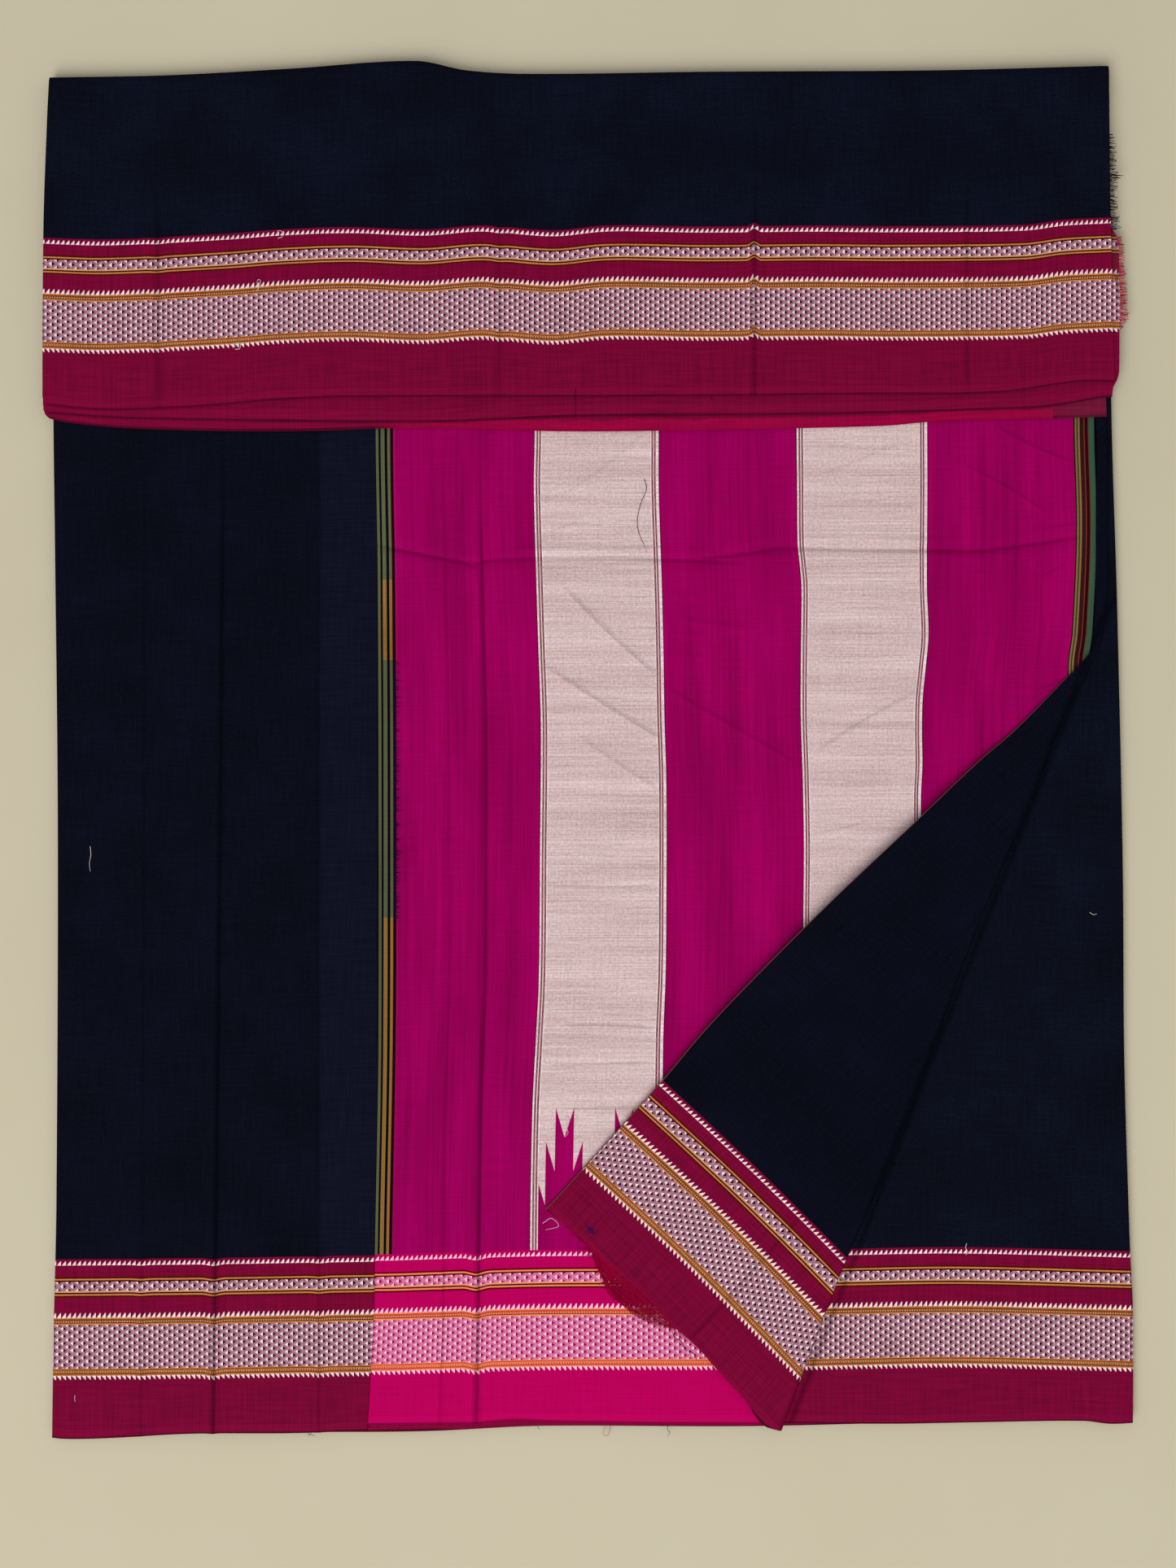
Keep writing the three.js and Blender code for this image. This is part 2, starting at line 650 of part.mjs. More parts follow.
const flapRows = FLAP_ROWS.map(flapRow).reverse();
const hemEdge = flapRows[0].filter((_, j) => {
  const share = FLAP_SHARES[j];
  return share > FLAP_FRINGE.from - 0.02 && share < FLAP_FRINGE.to + 0.02;
});

// The whole saree

const saree = new THREE.Group();
saree.name = "folded_saree";
saree.add(
  mesh("stack", stackOf(packOutline()), COLOURS.field),
  mesh("body_left", bodyLeft, COLOURS.field),
  mesh("pallu", palluSheet, COLOURS.pallu),
  mesh("body_right", bodyRight, COLOURS.field),
  mesh("flap", wall(flapRows), COLOURS.field),
  mesh(
    "band_1",
    bandPly({ n: 3, hem: HEM_1, right: BAND_RIGHT, lines: BAND_1_LINES, turns: true }),
    COLOURS.border,
  ),
  mesh(
    "band_2",
    bandPly({ n: 2, hem: HEM_2, right: BAND_2_RIGHT, lines: BAND_2_LINES, turns: false }),
    COLOURS.border,
  ),
  mesh(
    "band_3",
    bandPly({ n: 1, hem: HEM_3, right: BAND_3_RIGHT, lines: BAND_3_LINES, turns: false }),
    COLOURS.border,
  ),
  mesh(
    "fringe_field",
    fringe(edgeLine(BAND_2_RIGHT, FIELD_FRINGE, level(2) + PLY / 2), eastward, FIELD_FRINGE, 1),
    COLOURS.field,
  ),
  mesh(
    "fringe_border",
    fringe(edgeLine(BAND_3_RIGHT, BORDER_FRINGE, level(1) + PLY / 2), eastward, BORDER_FRINGE, 2),
    COLOURS.border,
  ),
  mesh("fringe_flap", fringe(hemEdge, hemOut, FLAP_FRINGE, 3), COLOURS.flapThread),
);

export default saree;
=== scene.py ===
"""A saree, folded and laid flat on a pale floor. The tables hold millimetres in the part's own frame, and the
meshes are made in metres."""

import math
from collections import namedtuple
from functools import reduce

import bpy
import numpy as np
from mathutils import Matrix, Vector


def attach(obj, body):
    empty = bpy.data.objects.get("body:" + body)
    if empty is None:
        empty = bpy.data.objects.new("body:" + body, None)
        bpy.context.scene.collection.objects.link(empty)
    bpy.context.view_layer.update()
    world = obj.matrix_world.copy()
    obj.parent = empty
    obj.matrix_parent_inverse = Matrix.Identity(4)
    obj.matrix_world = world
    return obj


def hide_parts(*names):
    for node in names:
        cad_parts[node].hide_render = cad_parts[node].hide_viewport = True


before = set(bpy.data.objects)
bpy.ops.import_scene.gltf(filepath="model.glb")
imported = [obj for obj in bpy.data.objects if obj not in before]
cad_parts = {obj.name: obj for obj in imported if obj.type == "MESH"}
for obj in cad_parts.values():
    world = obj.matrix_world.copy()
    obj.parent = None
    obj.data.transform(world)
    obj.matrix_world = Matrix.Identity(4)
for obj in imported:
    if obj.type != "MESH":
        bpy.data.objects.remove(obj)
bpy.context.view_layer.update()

MM = 0.001  # metres

# Cloth
PLY = 1.1  # room that one sheet takes in the pack
CLEAR = 0.3  # clearance between sheets that touch
CLOTH = 0.7  # thickness of a sheet as it is shown
STACK_TOP = 5.4  # height of the pressed hidden plies
GRID = 3.4  # distance between the points of a sheet
HIDDEN_GRID = 18  # the same where another sheet covers it
CREASE_GRID = 1.1  # the same beside a pressed crease
CREASE_REACH = 6  # how far to each side of the crease

# Places along the pack, as y
TUCKED_END = 454
HEM_LINE = -470
TOP_SHOWN = 221  # the end panel meets the turned-down part
FLATTENED = (214, 236)  # the front's creases flatten out under that part
COVERED_FROM = 246  # that part covers the front sheets from here on
TURN_TAIL = 7  # how far the top ply runs on under the pack

# The woven border, measured from the selvedge
FOOT = 37.3  # plain foot of the border, up to its lower teeth
BORDER_TOP = 121  # where the border gives way to the field

# Outlines of the pack, (y, x)
LEFT_EDGE = [
    (-479, -373.5), (-410, -372.5), (-316, -370.5), (-56, -369.5), (145, -371.5), (227, -372.5),
    (458, -373),
]
RIGHT_EDGE = [
    (-479, 378.5), (-390, 378.5), (-347, 376.5), (-214, 372.5), (-84, 371.5), (101, 367.5), (238, 363.5),
    (458, 361.5),
]

# Hems, (x, y)
STACK_HEM = [
    (-380, -476.5), (-365, -478.5), (-334, -478), (-278, -476), (-203, -475), (-115, -474.5), (-33, -471),
    (111, -471), (212, -469), (344, -466.5), (385, -467.5),
]
LEFT_HEM = [(-380, -477), (-365, -479), (-334, -478.5), (-278, -475.5), (-203, -475), (-150, -473)]
PALLU_HEM = [(-160, -469), (-79, -468), (-52, -466), (-22, -467), (42, -468), (140, -468.5)]
RIGHT_HEM = [(120, -468), (212, -468.5), (269, -467.5), (344, -466.5), (362, -468.5), (385, -467.5)]

# Where the border of the front sheets ends and their field begins, (x, y)
FRONT_BORDER = [
    (-380, -354.5), (-371, -354.3), (-259, -353.2), (-147, -351.5), (5, -350.9), (181, -346.9),
    (261, -345.8), (376, -348.6), (385, -349),
]

# The same in the end panel, (x, y)
PALLU_BORDER = [(-160, -350.8), (-135, -350.6), (-92, -349.2), (-30, -347.6), (42, -347.4), (140, -347.4)]

# The end panel's left and right edge, (y, x)
PALLU_START = [
    (-479, -154.5), (-391, -149.5), (-350, -149), (-200, -146.5), (118, -147), (221, -148.5), (458, -148.5),
]
PALLU_END = [
    (-479, 133), (-430, 122), (-355, 105), (-214, 165), (-45, 268), (5, 304), (44, 334), (68, 350),
    (85, 352), (458, 352),
]

# Lines of the end panel that its stripes follow, (y, x)
PANEL_1_LEFT = [
    (-470, -39.5), (-327, -39), (-248, -37.5), (-203, -35.2), (-157, -33), (-67, -32.2), (-22, -31.7),
    (23, -31.7), (69, -33.3), (114, -34.7), (182, -36.5), (221, -35.9), (458, -35.9),
]
PANEL_1_RIGHT = [
    (-349, 47.5), (-203, 48.7), (-157, 50.4), (-112, 50.9), (-22, 50.9), (23, 49.6), (69, 48.9),
    (120, 47.6), (182, 45.6), (221, 45.6), (458, 45.6),
]
PANEL_2_LEFT = [
    (-349, 150.5), (-112, 151.4), (-67, 151.8), (-22, 151), (23, 149.6), (69, 149.7), (114, 150.1),
    (131, 148.6), (145, 147.3), (182, 147), (221, 146.7), (458, 146.7),
]
PANEL_2_RIGHT = [
    (-349, 228), (-33, 228), (-10, 229), (12, 228.7), (35, 229.2), (57, 231.4), (80, 233.3), (114, 232.1),
    (182, 232.4), (221, 232.3), (458, 232.3),
]
RIGHT_STRIPES = [(-349, 332.8), (58, 332.8), (82, 335.6), (152, 338.5), (229, 336.8), (458, 336.8)]

# The turned-down part: its top edge, hems and border, (x, y), and its side edges, (y, x)
TOP_EDGE = [
    (-374, 467.5), (-297, 469), (-212, 473.5), (-122, 479), (-87, 472.5), (-44, 470), (87, 471.5),
    (245, 472.5), (360, 475.5),
]
HEM_1 = [
    (-378, 239), (-334, 235.5), (-268, 238), (-221, 242), (-165, 244.5), (50, 245), (189, 246.5),
    (282, 247.5), (339, 255), (364, 255),
]
HEM_2 = [
    (-378, 233.5), (-312, 229.5), (-115, 227), (-10, 231), (156, 232.5), (282, 236), (320, 238), (356, 244),
    (368, 245),
]
HEM_3 = [
    (-378, 231), (-364, 227.5), (-315, 223), (-212, 221), (-115, 223.5), (-6, 221), (106, 222.5),
    (208, 225), (245, 228), (359, 231),
]
BAND_BORDER = [
    (-378, 354.9), (-334, 353.7), (-250, 357.7), (-214, 360.5), (-165, 362.2), (-115, 360.5), (-74, 363.3),
    (-25, 360), (12, 363.3), (80, 362.6), (156, 363.3), (208, 362.8), (302, 363.9), (329, 367.3),
    (362, 369),
]
BAND_SCALE = 0.946  # the band's border is a little narrower than the front's
BAND_LEFT = [(220, -378.8), (358, -378.2), (440, -375.5), (468, -374)]
BAND_RIGHT = [(220, 364), (255, 364), (292, 363.3), (369, 361.6), (475, 360.5)]
BAND_2_RIGHT = [
    (235, 362.5), (251, 363.5), (257, 366.6), (264, 367.8), (316, 367.4), (328, 364.5), (345, 361),
    (475, 358),
]
BAND_3_RIGHT = [
    (220, 359.4), (284, 359.4), (291, 366), (299, 369), (330, 368), (356, 367), (362, 361), (475, 358),
]
# The hems of that part stand up a little in places, and settle between two y
WAVE_HEIGHT = 0.45
WAVE_LENGTH = 290
WAVE_START = 258
WAVE_END = 300

# The loose end. Each row runs from the cut end to the fold. tuck is how far the cloth returns under the
# fold, and lift is how high the cut end stands
FLAP_ROWS = [
    # end x, end y, fold x, fold y, tuck, lift
    (352, 230.2, 359.4, 230.2, 3, 0),
    (352.6, 204, 359.7, 204, 3, 0),
    (352, 148, 360, 148, 3, 0),
    (351.5, 103, 359.7, 105, 3, 0),
    (349.2, 76, 356.4, 83, 3, 0),
    (346.6, 66, 353.7, 70.5, 3, 0),
    (326.6, 44.4, 341.8, 47.2, 5, 0.5),
    (295.5, 13.3, 330, 22.9, 12, 2.4),
    (268.3, -10, 315, -15.6, 18, 4.8),
    (224.2, -51.7, 301, -51.2, 26, 7.4),
    (159.8, -112.8, 274, -112.2, 36, 7.6),
    (89.6, -184.6, 246.8, -185.8, 46, 5),
    (52.3, -228.2, 223, -250.8, 52, 3.6),
    (20.6, -263.8, 197, -313, 56, 2.2),
    (-4.8, -292, 178.4, -354.8, 58, 1.2),
    (-19, -308, 156.4, -412, 58, 0.6),
    (-29.7, -319.2, 133.7, -473, 58, 0.2),
]
# How far the flap's hem stands out, (share along it, distance)
FLAP_HEM = [
    (0, 0), (0.1, -1.6), (0.2, -2.6), (0.36, -3.2), (0.46, -3.4), (0.54, -1.6), (0.65, -2.2), (0.73, -0.3),
    (0.86, 1.5), (0.91, 4.6), (0.955, 5.6), (1, 0.8),
]
FOLD_RADIUS = 0.75  # of the flap's fold, inside the cloth
FLAP_COLUMNS = 62  # points from the cut end to the fold
HEM_BOW = 2.2  # how far the flap's border bows
HEM_BOW_LENGTH = 215  # along the hem, from the loose corner
SETTLE = (5, 40)  # distances past the tuck over which the flap comes down
WARP = (0.728, -0.685)  # along the flap's hem, from its loose corner
WEFT = (0.699, 0.715)  # from the flap's hem along its cut end


def level(n):
    """Underside of the nth sheet over the hidden plies"""
    return STACK_TOP + CLEAR + n * (PLY + CLEAR)


def face(n):
    """Upper face of the same sheet"""
    return level(n) + PLY


def mix(a, b, share):
    return a + (b - a) * share


def unit(v):
    return v / np.linalg.norm(v, axis=-1, keepdims=True)


def joined(*parts):
    """Numbers side by side in a last axis, such as the x, y and z of points"""
    return np.stack(parts, axis=-1)


def raised_to(places, height):
    """Points at a height over places (x, y)"""
    return np.column_stack([places, np.broadcast_to(height, len(places))])


def smooth(at, start, end):
    t = np.clip((at - start) / (end - start), 0, 1)
    return t * t * (3 - 2 * t)


def steps(start, end, spacing):
    """Even steps no longer than about the spacing, both ends included"""
    return np.linspace(start, end, max(1, round(abs(end - start) / spacing)) + 1)


def follow(table, at):
    """A smooth line through a table's rows of (place, value)"""
    places, values = np.array(table, float).T
    before = np.maximum(np.arange(len(places)) - 1, 0)
    after = np.minimum(np.arange(len(places)) + 1, len(places) - 1)
    slopes = (values[after] - values[before]) / (places[after] - places[before])
    i = np.clip(np.searchsorted(places, at, side="left") - 1, 0, len(places) - 2)
    width = places[i + 1] - places[i]
    t = np.clip((at - places[i]) / width, 0, 1)
    t2, t3 = t * t, t * t * t
    return (
        (2 * t3 - 3 * t2 + 1) * values[i]
        + (t3 - 2 * t2 + t) * width * slopes[i]
        + (3 * t2 - 2 * t3) * values[i + 1]
        + (t3 - t2) * width * slopes[i + 1]
    )


# Creases


class Crease(namedtuple("Crease", "x0 y0 x1 y1 bow left right height")):
    """A crease from one place to another. bow is how far its middle swings to its right, left and right are
    the widths of its sides, and height is below 0 for a trough"""

    def place(self, x, y):
        """How far along the crease a place is, as a share, and how far to its right. x and y are arrays, or
        a material's numbers"""
        dx, dy = self.x1 - self.x0, self.y1 - self.y0
        length = math.hypot(dx, dy)
        along = (x - self.x0) * (dx / length**2) + (y - self.y0) * (dy / length**2)
        across = (x - self.x0) * (dy / length) - (y - self.y0) * (dx / length)
        if self.bow:
            across = across - along * (along * -1 + 1) * (4 * self.bow)
        return along, across


def creases_of(rows):
    return [Crease(*row) for row in rows]


CREASE_FADE = 0.15  # share of its length over which a crease begins, and ends
LEFT_CREASES = creases_of([
    (-311.4, -600, -309, 240, 0, 6, 3, 0.5),
    (-262.8, -600, -254, 240, 1, 8, 4, 1.6),
    (-187, -600, -187, 240, -1, 5, 4, 0.7),
    (-340, -474, -343, -60, 2, 9, 9, 0.3),
    (-222, -300, -219, 230, 2, 10, 8, 0.3),
])
PALLU_CREASES = creases_of([
    (-104.4, -600, -102, 230, 1, 6, 3, 0.7),
    (-78.9, -600, -76, 240, 0.5, 9, 4, 1.8),
    (-60, -300, -62, 225, 1, 5, 4, 0.35),
    (272, -40, 272, 226, 1, 6, 4, 0.4),
    (313, 20, 312, 226, -1, 5, 3, 0.35),
    # the wrinkle across the panel
    (-152, 143.5, -72, 127.5, 0, 5, 6, -1.1),
    (-96, 130.5, 116, 129.5, -2.5, 5, 6, -1.1),
    (72, 132, 142, 142, 0.5, 5, 6, -1.0),
    (104, 140.5, 288, 138.5, 0, 5, 6, -1.1),
    (252, 137.5, 345, 149, 1.5, 5, 6, -1.2),
    (-60, 140, 60, 140, 0, 6, 6, 0.5),
    (140, 148, 250, 147, 0, 6, 6, 0.6),
    # in the first white panel
    (-20, 176, 44, 226, 3, 4, 5, 0.4),
    (-30, 150, -8, 158, 0, 4, 4, 0.5),
    (-20, 115.5, 50, 49, 2, 8, 4, 0.9),
    (-34, 60, 56, 4, 1, 8, 4, 0.9),
    (-8, 9, 52, -31, 0, 7, 4, 0.6),
    (-30, -94, 50, -93, 1.5, 3, 5, -0.6),
    (-20, -191, 50, -193, -1, 4, 4, -0.8),
    (-30, -218, 45, -216, 1, 4, 4, -0.6),
    (-20, -250, 50, -249, 0.5, 3, 3, 0.5),
    # in the magenta between the white panels
    (50, 45, 148, -12, 0, 8, 5, 0.6),
    (62, 92, 120, 84, 1, 7, 6, 0.4),
    # in the second white panel
    (157, -2, 226, 39, -1.5, 4, 7, 0.7),
    (150, -60, 200, -48, 1, 4, 5, 0.4),
    (158, 190, 220, 215, 1, 5, 5, 0.4),
    # by the stripes on the right
    (281, 226, 336, 200, 2, 6, 4, 0.7),
    (258, 199, 321, 162, -2, 6, 4, 0.6),
    (314, 153.5, 337, 158, 0, 4, 3, -0.5),
    (312, 119.6, 332, 130.4, 0, 4, 3, -0.6),
    (308, 41.6, 330, 49, 0.5, 4, 3, -0.6),
])
RIGHT_CREASES = creases_of([
    (300, -470, 297, -120, 3, 8, 8, 0.3),
    (345, -470, 340, -30, 2, 9, 7, 0.3),
])
BAND_CREASES = creases_of([
    (-299, 222, -299, 390, 0, 10, 7, 0.9),
    (-62.5, 222, -62.5, 390, 0, 10, 7, 0.6),
    (114.5, 222, 114.5, 386, 0, 9, 6, 1.1),
    (262, 236, 262, 396, 0, 9, 5, 0.8),
    (114.5, 350, 114.5, 476, 0, 7, 3, 0.35),
    (-190, 240, -186, 400, 2, 12, 9, 0.5),
    (20, 244, 24, 400, 2, 12, 9, 0.5),
    (200, 246, 196, 420, -2, 12, 9, 0.5),
])
FLAP_CREASES = creases_of([
    (110, -440, 318, 0, -6, 10, 10, -0.4),
    (40, -330, 250, -90, 5, 14, 14, 0.5),
    (60, -420, 152, -318, 1, 7, 5, -0.8),
])
FOLD_LINE = Crease(94, -573, 402, 206, 0, 9, 9, -1.5)  # along the flap's fold
BESIDE_FOLD = 2.4  # how far right of it the cloth below is pressed, and darkened with a painted shadow of the fold
CROSSING_CREASES = [133, -93, -192, -217, -249.5]  # the y of those that cross the end panel
# How far the border's lines dip at a crease, (x, half width, dip)
FRONT_DIPS = [(-261, 9, 0.9), (-78, 10, 1.5), (-187, 8, 0.5), (-311, 8, 0.4)]
BAND_DIPS = [(114.5, 5, -2.2), (-62.5, 8, 0.8), (-299, 8, 0.7)]


def relief(x, y, creases):
    raised = np.zeros_like(x)
    for crease in creases:
        along, across = crease.place(x, y)
        share = np.where(across < 0, -across / crease.left, across / crease.right)
        fade = smooth(along, 0, CREASE_FADE) * (1 - smooth(along, 1 - CREASE_FADE, 1))
        raised += crease.height * fade * np.clip(1 - share, 0, 1) ** 1.5
    return raised


# How far the uneven lie of each cloth raises it
FRONT_SWELL = 0.22
BAND_SWELL = 0.3
FLAP_SWELL = 0.25


def swell(x, y):
    """The slow, uneven lie of a pressed cloth, between about -1 and 1"""
    slow = np.sin(x / 61 + y / 97) * np.sin(y / 43 - x / 210)
    quick = np.sin(x / 19 + 1.7 + np.sin(y / 57)) * np.sin(y / 31 + x / 90)
    return 0.65 * slow + 0.35 * quick


def dip(x, dips):
    return sum(depth * (1 - smooth(np.abs(x - place), 0, half)) for place, half, depth in dips)


# Meshes


def add_object(name, data):
    thing = bpy.data.objects.new(name, data)
    bpy.context.scene.collection.objects.link(thing)
    return thing


def tube(at):
    """The faces of a closed tube. at holds each ring's points, by number"""
    after = np.roll(at, -1, axis=1)
    sides = np.stack([at[:-1], after[:-1], after[1:], at[1:]], axis=-1).reshape(-1, 4)
    return [*sides.tolist(), at[0, ::-1].tolist(), at[-1].tolist()]


def mesh_of(name, points, faces, woven, material, sharp=None):
    """A piece from its points in millimetres, with each point's place in the cloth as its UV"""
    mesh = bpy.data.meshes.new(name)
    mesh.from_pydata((points * MM).tolist(), [], faces)
    uv = mesh.uv_layers.new(name="woven")
    corners = np.empty(len(mesh.loops), dtype=np.int32)
    mesh.loops.foreach_get("vertex_index", corners)
    uv.data.foreach_set("uv", woven[corners].astype(np.float32).ravel())
    mesh.polygons.foreach_set("use_smooth", np.ones(len(mesh.polygons), dtype=bool))
    if sharp is not None:
        ends = np.empty(2 * len(mesh.edges), dtype=np.int32)
        mesh.edges.foreach_get("vertices", ends)
        ends = ends.reshape(-1, 2)
        edges = mesh.attributes.new("sharp_edge", "BOOLEAN", "EDGE")
        edges.data.foreach_set("value", sharp[ends[:, 0]] & sharp[ends[:, 1]])
    mesh.materials.append(material)
    mesh.update()
    piece = add_object(name, mesh)
    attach(piece, "root")
    return piece


def normals_of(points):
    across = np.gradient(points, axis=1)
    along = np.gradient(points, axis=0)
    return unit(np.cross(across, along))


def sheet(node, points, woven, material):
    """A thin closed sheet in place of a node. Its upper face is a grid of points: a row of them runs left to
    right, and the rows run up the cloth. woven holds each point's place in the cloth that it is cut from"""
    rows, columns = points.shape[:2]
    under = points - normals_of(points) * CLOTH
    index = np.arange(rows * columns).reshape(rows, columns)
    quads = np.stack([index[:-1, :-1], index[:-1, 1:], index[1:, 1:], index[1:, :-1]], axis=-1).reshape(-1, 4)
    rim = np.concatenate([index[0], index[1:, -1], index[-1, -2::-1], index[-2:0:-1, 0]])
    after = np.roll(rim, -1)
    count = rows * columns
    sides = np.stack([after, rim, count + rim, count + after], axis=-1)
    faces = np.concatenate([quads, quads[:, ::-1] + count, sides]).tolist()
    sharp = np.zeros(2 * count, dtype=bool)
    sharp[rim] = True
    sharp[rim + count] = True
    both = np.concatenate([points.reshape(-1, 3), under.reshape(-1, 3)])
    places = np.concatenate([woven.reshape(-1, 2)] * 2)
    piece = mesh_of(f"cloth_{node}", both, faces, places, material, sharp)
    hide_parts(node)


# Materials


def srgb(red, green, blue):
    channels = [c / 255 for c in (red, green, blue)]
    return (*[c / 12.92 if c <= 0.04045 else ((c + 0.055) / 1.055) ** 2.4 for c in channels], 1)


def step(operation):
    """A method that sends a number, and perhaps another, through one more node"""
    return lambda self, *others: self.then(operation, *others)


class Number:
    """A number that a material's nodes work out at each point of the cloth"""

    def __init__(self, socket):
        self.socket = socket
        self.tree = socket.id_data

    def then(self, operation, *others, clamp=False):
        inputs = dict(enumerate((self, *others)))
        return Number(made(self.tree, "Math", inputs, operation=operation, use_clamp=clamp).outputs[0])

    __add__ = step("ADD")
    __sub__ = step("SUBTRACT")
    __mul__ = step("MULTIPLY")
    __truediv__ = step("DIVIDE")
    __gt__ = step("GREATER_THAN")
    __lt__ = step("LESS_THAN")
    fract = step("FRACT")
    floor = step("FLOOR")
    size = step("ABSOLUTE")
    most = step("MAXIMUM")

    def offset(self):
        """How far the number is from the nearest whole one"""
        return (self + 0.5).fract() - 0.5

    def within(self, low, high):
        return (self > low) * (self < high)

    def ramp(self, low, high):
        """0 up to low and 1 from high on"""
        return ((self - low) / (high - low)).then("MULTIPLY", 1, clamp=True)


def feed(term, socket):
    term = getattr(term, "socket", term)
    if isinstance(term, bpy.types.NodeSocket):
        socket.id_data.links.new(term, socket)
    else:
        socket.default_value = term


def made(tree, kind, inputs, **settings):
    """A node, with what goes into its sockets"""
    node = tree.nodes.new("ShaderNode" + kind)
    for name, setting in settings.items():
        setattr(node, name, setting)
    for name, term in inputs.items():
        feed(term, node.inputs[name])
    return node


def blend(factor, below, above):
    return made(factor.tree, "Mix", {0: factor, 6: below, 7: above}, data_type="RGBA").outputs[2]


def shade(colour, factor):
    """The colour, lightened or darkened"""
    return made(factor.tree, "VectorMath", {0: colour, "Scale": factor}, operation="SCALE").outputs[0]


def noise(u, v, seed, detail=2):
    """Soft noise over two numbers, from 0 to 1"""
    place = made(u.tree, "CombineXYZ", {0: u, 1: v, 2: float(seed)})
    inputs = {"Scale": 1, "Detail": detail, "Vector": place.outputs[0]}
    return Number(made(u.tree, "TexNoise", inputs).outputs["Fac"])


def bands(place, groups, tones):
    """Bands of colour, each from its own start to the next one's. Each group has a ramp of its own, which
    keeps its narrow bands sharp"""
    colour = None
    for rows in groups:
        start = rows[0][0]
        reach = rows[-1][0] - start + 1
        node = made(place.tree, "ValToRGB", {0: (place - start) / reach})
        ramp = node.color_ramp
        ramp.interpolation = "CONSTANT"
        ramp.elements.remove(ramp.elements[1])
        ramp.elements[0].position = 0
        ramp.elements[0].color = tones[rows[0][1]]
        for at, tone in rows[1:]:
            ramp.elements.new((at - start) / reach).color = tones[tone]
        colour = blend(place > start, colour, node.outputs[0]) if colour else node.outputs[0]
    return colour


BORDER_BANDS = [
    [(0, "edge"), (1.1, "bright"), (5.7, "ground")],
    [(39.9, "gold"), (40.7, "brown"), (43.0, "gold"), (43.5, "brown"), (44.4, "gold"), (45.0, "weave")],
    [(75.2, "gold"), (76.3, "line"), (76.9, "brown"), (79.4, "gold"), (80.3, "ground")],
    [
        (94.4, "line"), (95.6, "gold"), (96.7, "line"), (97.8, "cream"), (99.0, "weave"),
        (105.2, "line"), (106.3, "gold"), (107.4, "line"), (108.6, "ground"),
    ],
]
TEETH_PITCH = 3.46
TEETH = [(39.9, -2.7), (80.2, 3.4), (116.7, 2.9)]  # base and height of each row
DOTS_PITCH = 1.7
DOTS = [(41.9, 42.9), (76.9, 78.0)]  # from and to of each dotted line
CELL_WIDTH = 6.96
LATTICES = [(45.0, 75.2, 5.03), (99.0, 105.2, 6.2)]  # from, to, and the height of a cell
DIAMOND = 0.31  # half of the diamond's width, as a share of its cell
NET = (0.37, 0.43)  # the lines beside the net between the diamonds

# Each tone of the border beside the field, and beside the end panel
BORDER_TONES = {
    "edge": ((84, 6, 36), (140, 2, 66)),
    "bright": ((126, 8, 55), (190, 2, 94)),
    "ground": ((119, 7, 51), (186, 0, 92)),
    "gold": ((196, 124, 70), (240, 140, 92)),
    "brown": ((128, 66, 22), (206, 74, 52)),
    "cream": ((205, 152, 118), (238, 150, 116)),
    "line": ((74, 16, 6), (96, 6, 14)),
    "weave": ((130, 76, 98), (200, 84, 134)),
    "net": ((203, 152, 173), (233, 144, 186)),
    "white": ((240, 222, 226), (250, 200, 226)),
    "dark": ((58, 2, 24), (150, 2, 74)),
}
FIELD_TONES, PALLU_TONES = [
    {name: srgb(*tones[k]) for name, tones in BORDER_TONES.items()} for k in (0, 1)
]


def border(u, v, tones):
    """The woven border over its whole height"""
    colour = bands(v, BORDER_BANDS, tones)
    for low, high, cell in LATTICES:
        along = u / CELL_WIDTH
        up = (v - low) / cell
        rising = (along + up).offset()
        falling = (along - up).offset()
        furthest = rising.size().most(falling.size())
        net = rising.size().within(*NET).most(falling.size().within(*NET))
        diamond = furthest < DIAMOND
        half = blend((rising + falling) < 0, tones["dark"], tones["white"])
        motif = blend(net, tones["weave"], tones["net"])
        motif = blend(diamond, motif, half)
        colour = blend(v.within(low, high), colour, motif)
    for low, high in DOTS:
        dots = v.within(low, high) * ((u / DOTS_PITCH).fract() < 0.5)
        colour = blend(dots, colour, tones["cream"])
    for base, height in TEETH:
        share = (v - base) / height
        along = (u / TEETH_PITCH).fract()
        tooth = share.within(0, 1) * (along > share * 0.7 + 0.12) * (along < 0.93)
        colour = blend(tooth, colour, tones["white"])
    return colour


def start_material(name):
    material = bpy.data.materials.new(name)
    material.use_nodes = True
    tree = material.node_tree
    tree.nodes.clear()
    places = made(tree, "UVMap", {}, uv_map="woven")
    apart = made(tree, "SeparateXYZ", {0: places.outputs[0]})
    return material, Number(apart.outputs[0]), Number(apart.outputs[1])


def finish_material(colour, raised, roughness, specular):
    """A cloth's shader. raised is its relief in millimetres"""
    bump = made(raised.tree, "Bump", {"Strength": 1, "Distance": MM, "Height": raised})
    shader = made(raised.tree, "BsdfPrincipled", {
        "Base Color": colour,
        "Roughness": roughness,
        "Specular IOR Level": specular,
        "Normal": bump.outputs[0],
    })
    made(raised.tree, "OutputMaterial", {0: shader.outputs[0]})


def threads_of(u, v):
    """Slubs along both thread directions, as numbers about 0.5: along the length, then across it"""
    along = noise(u * 0.03, v * 0.8, 1, 4)
    across = noise(u * 0.8, v * 0.03, 2, 4)
    return along, across


SHARPER = 2.5  # how many times narrower a crease's sharp middle is than the crease


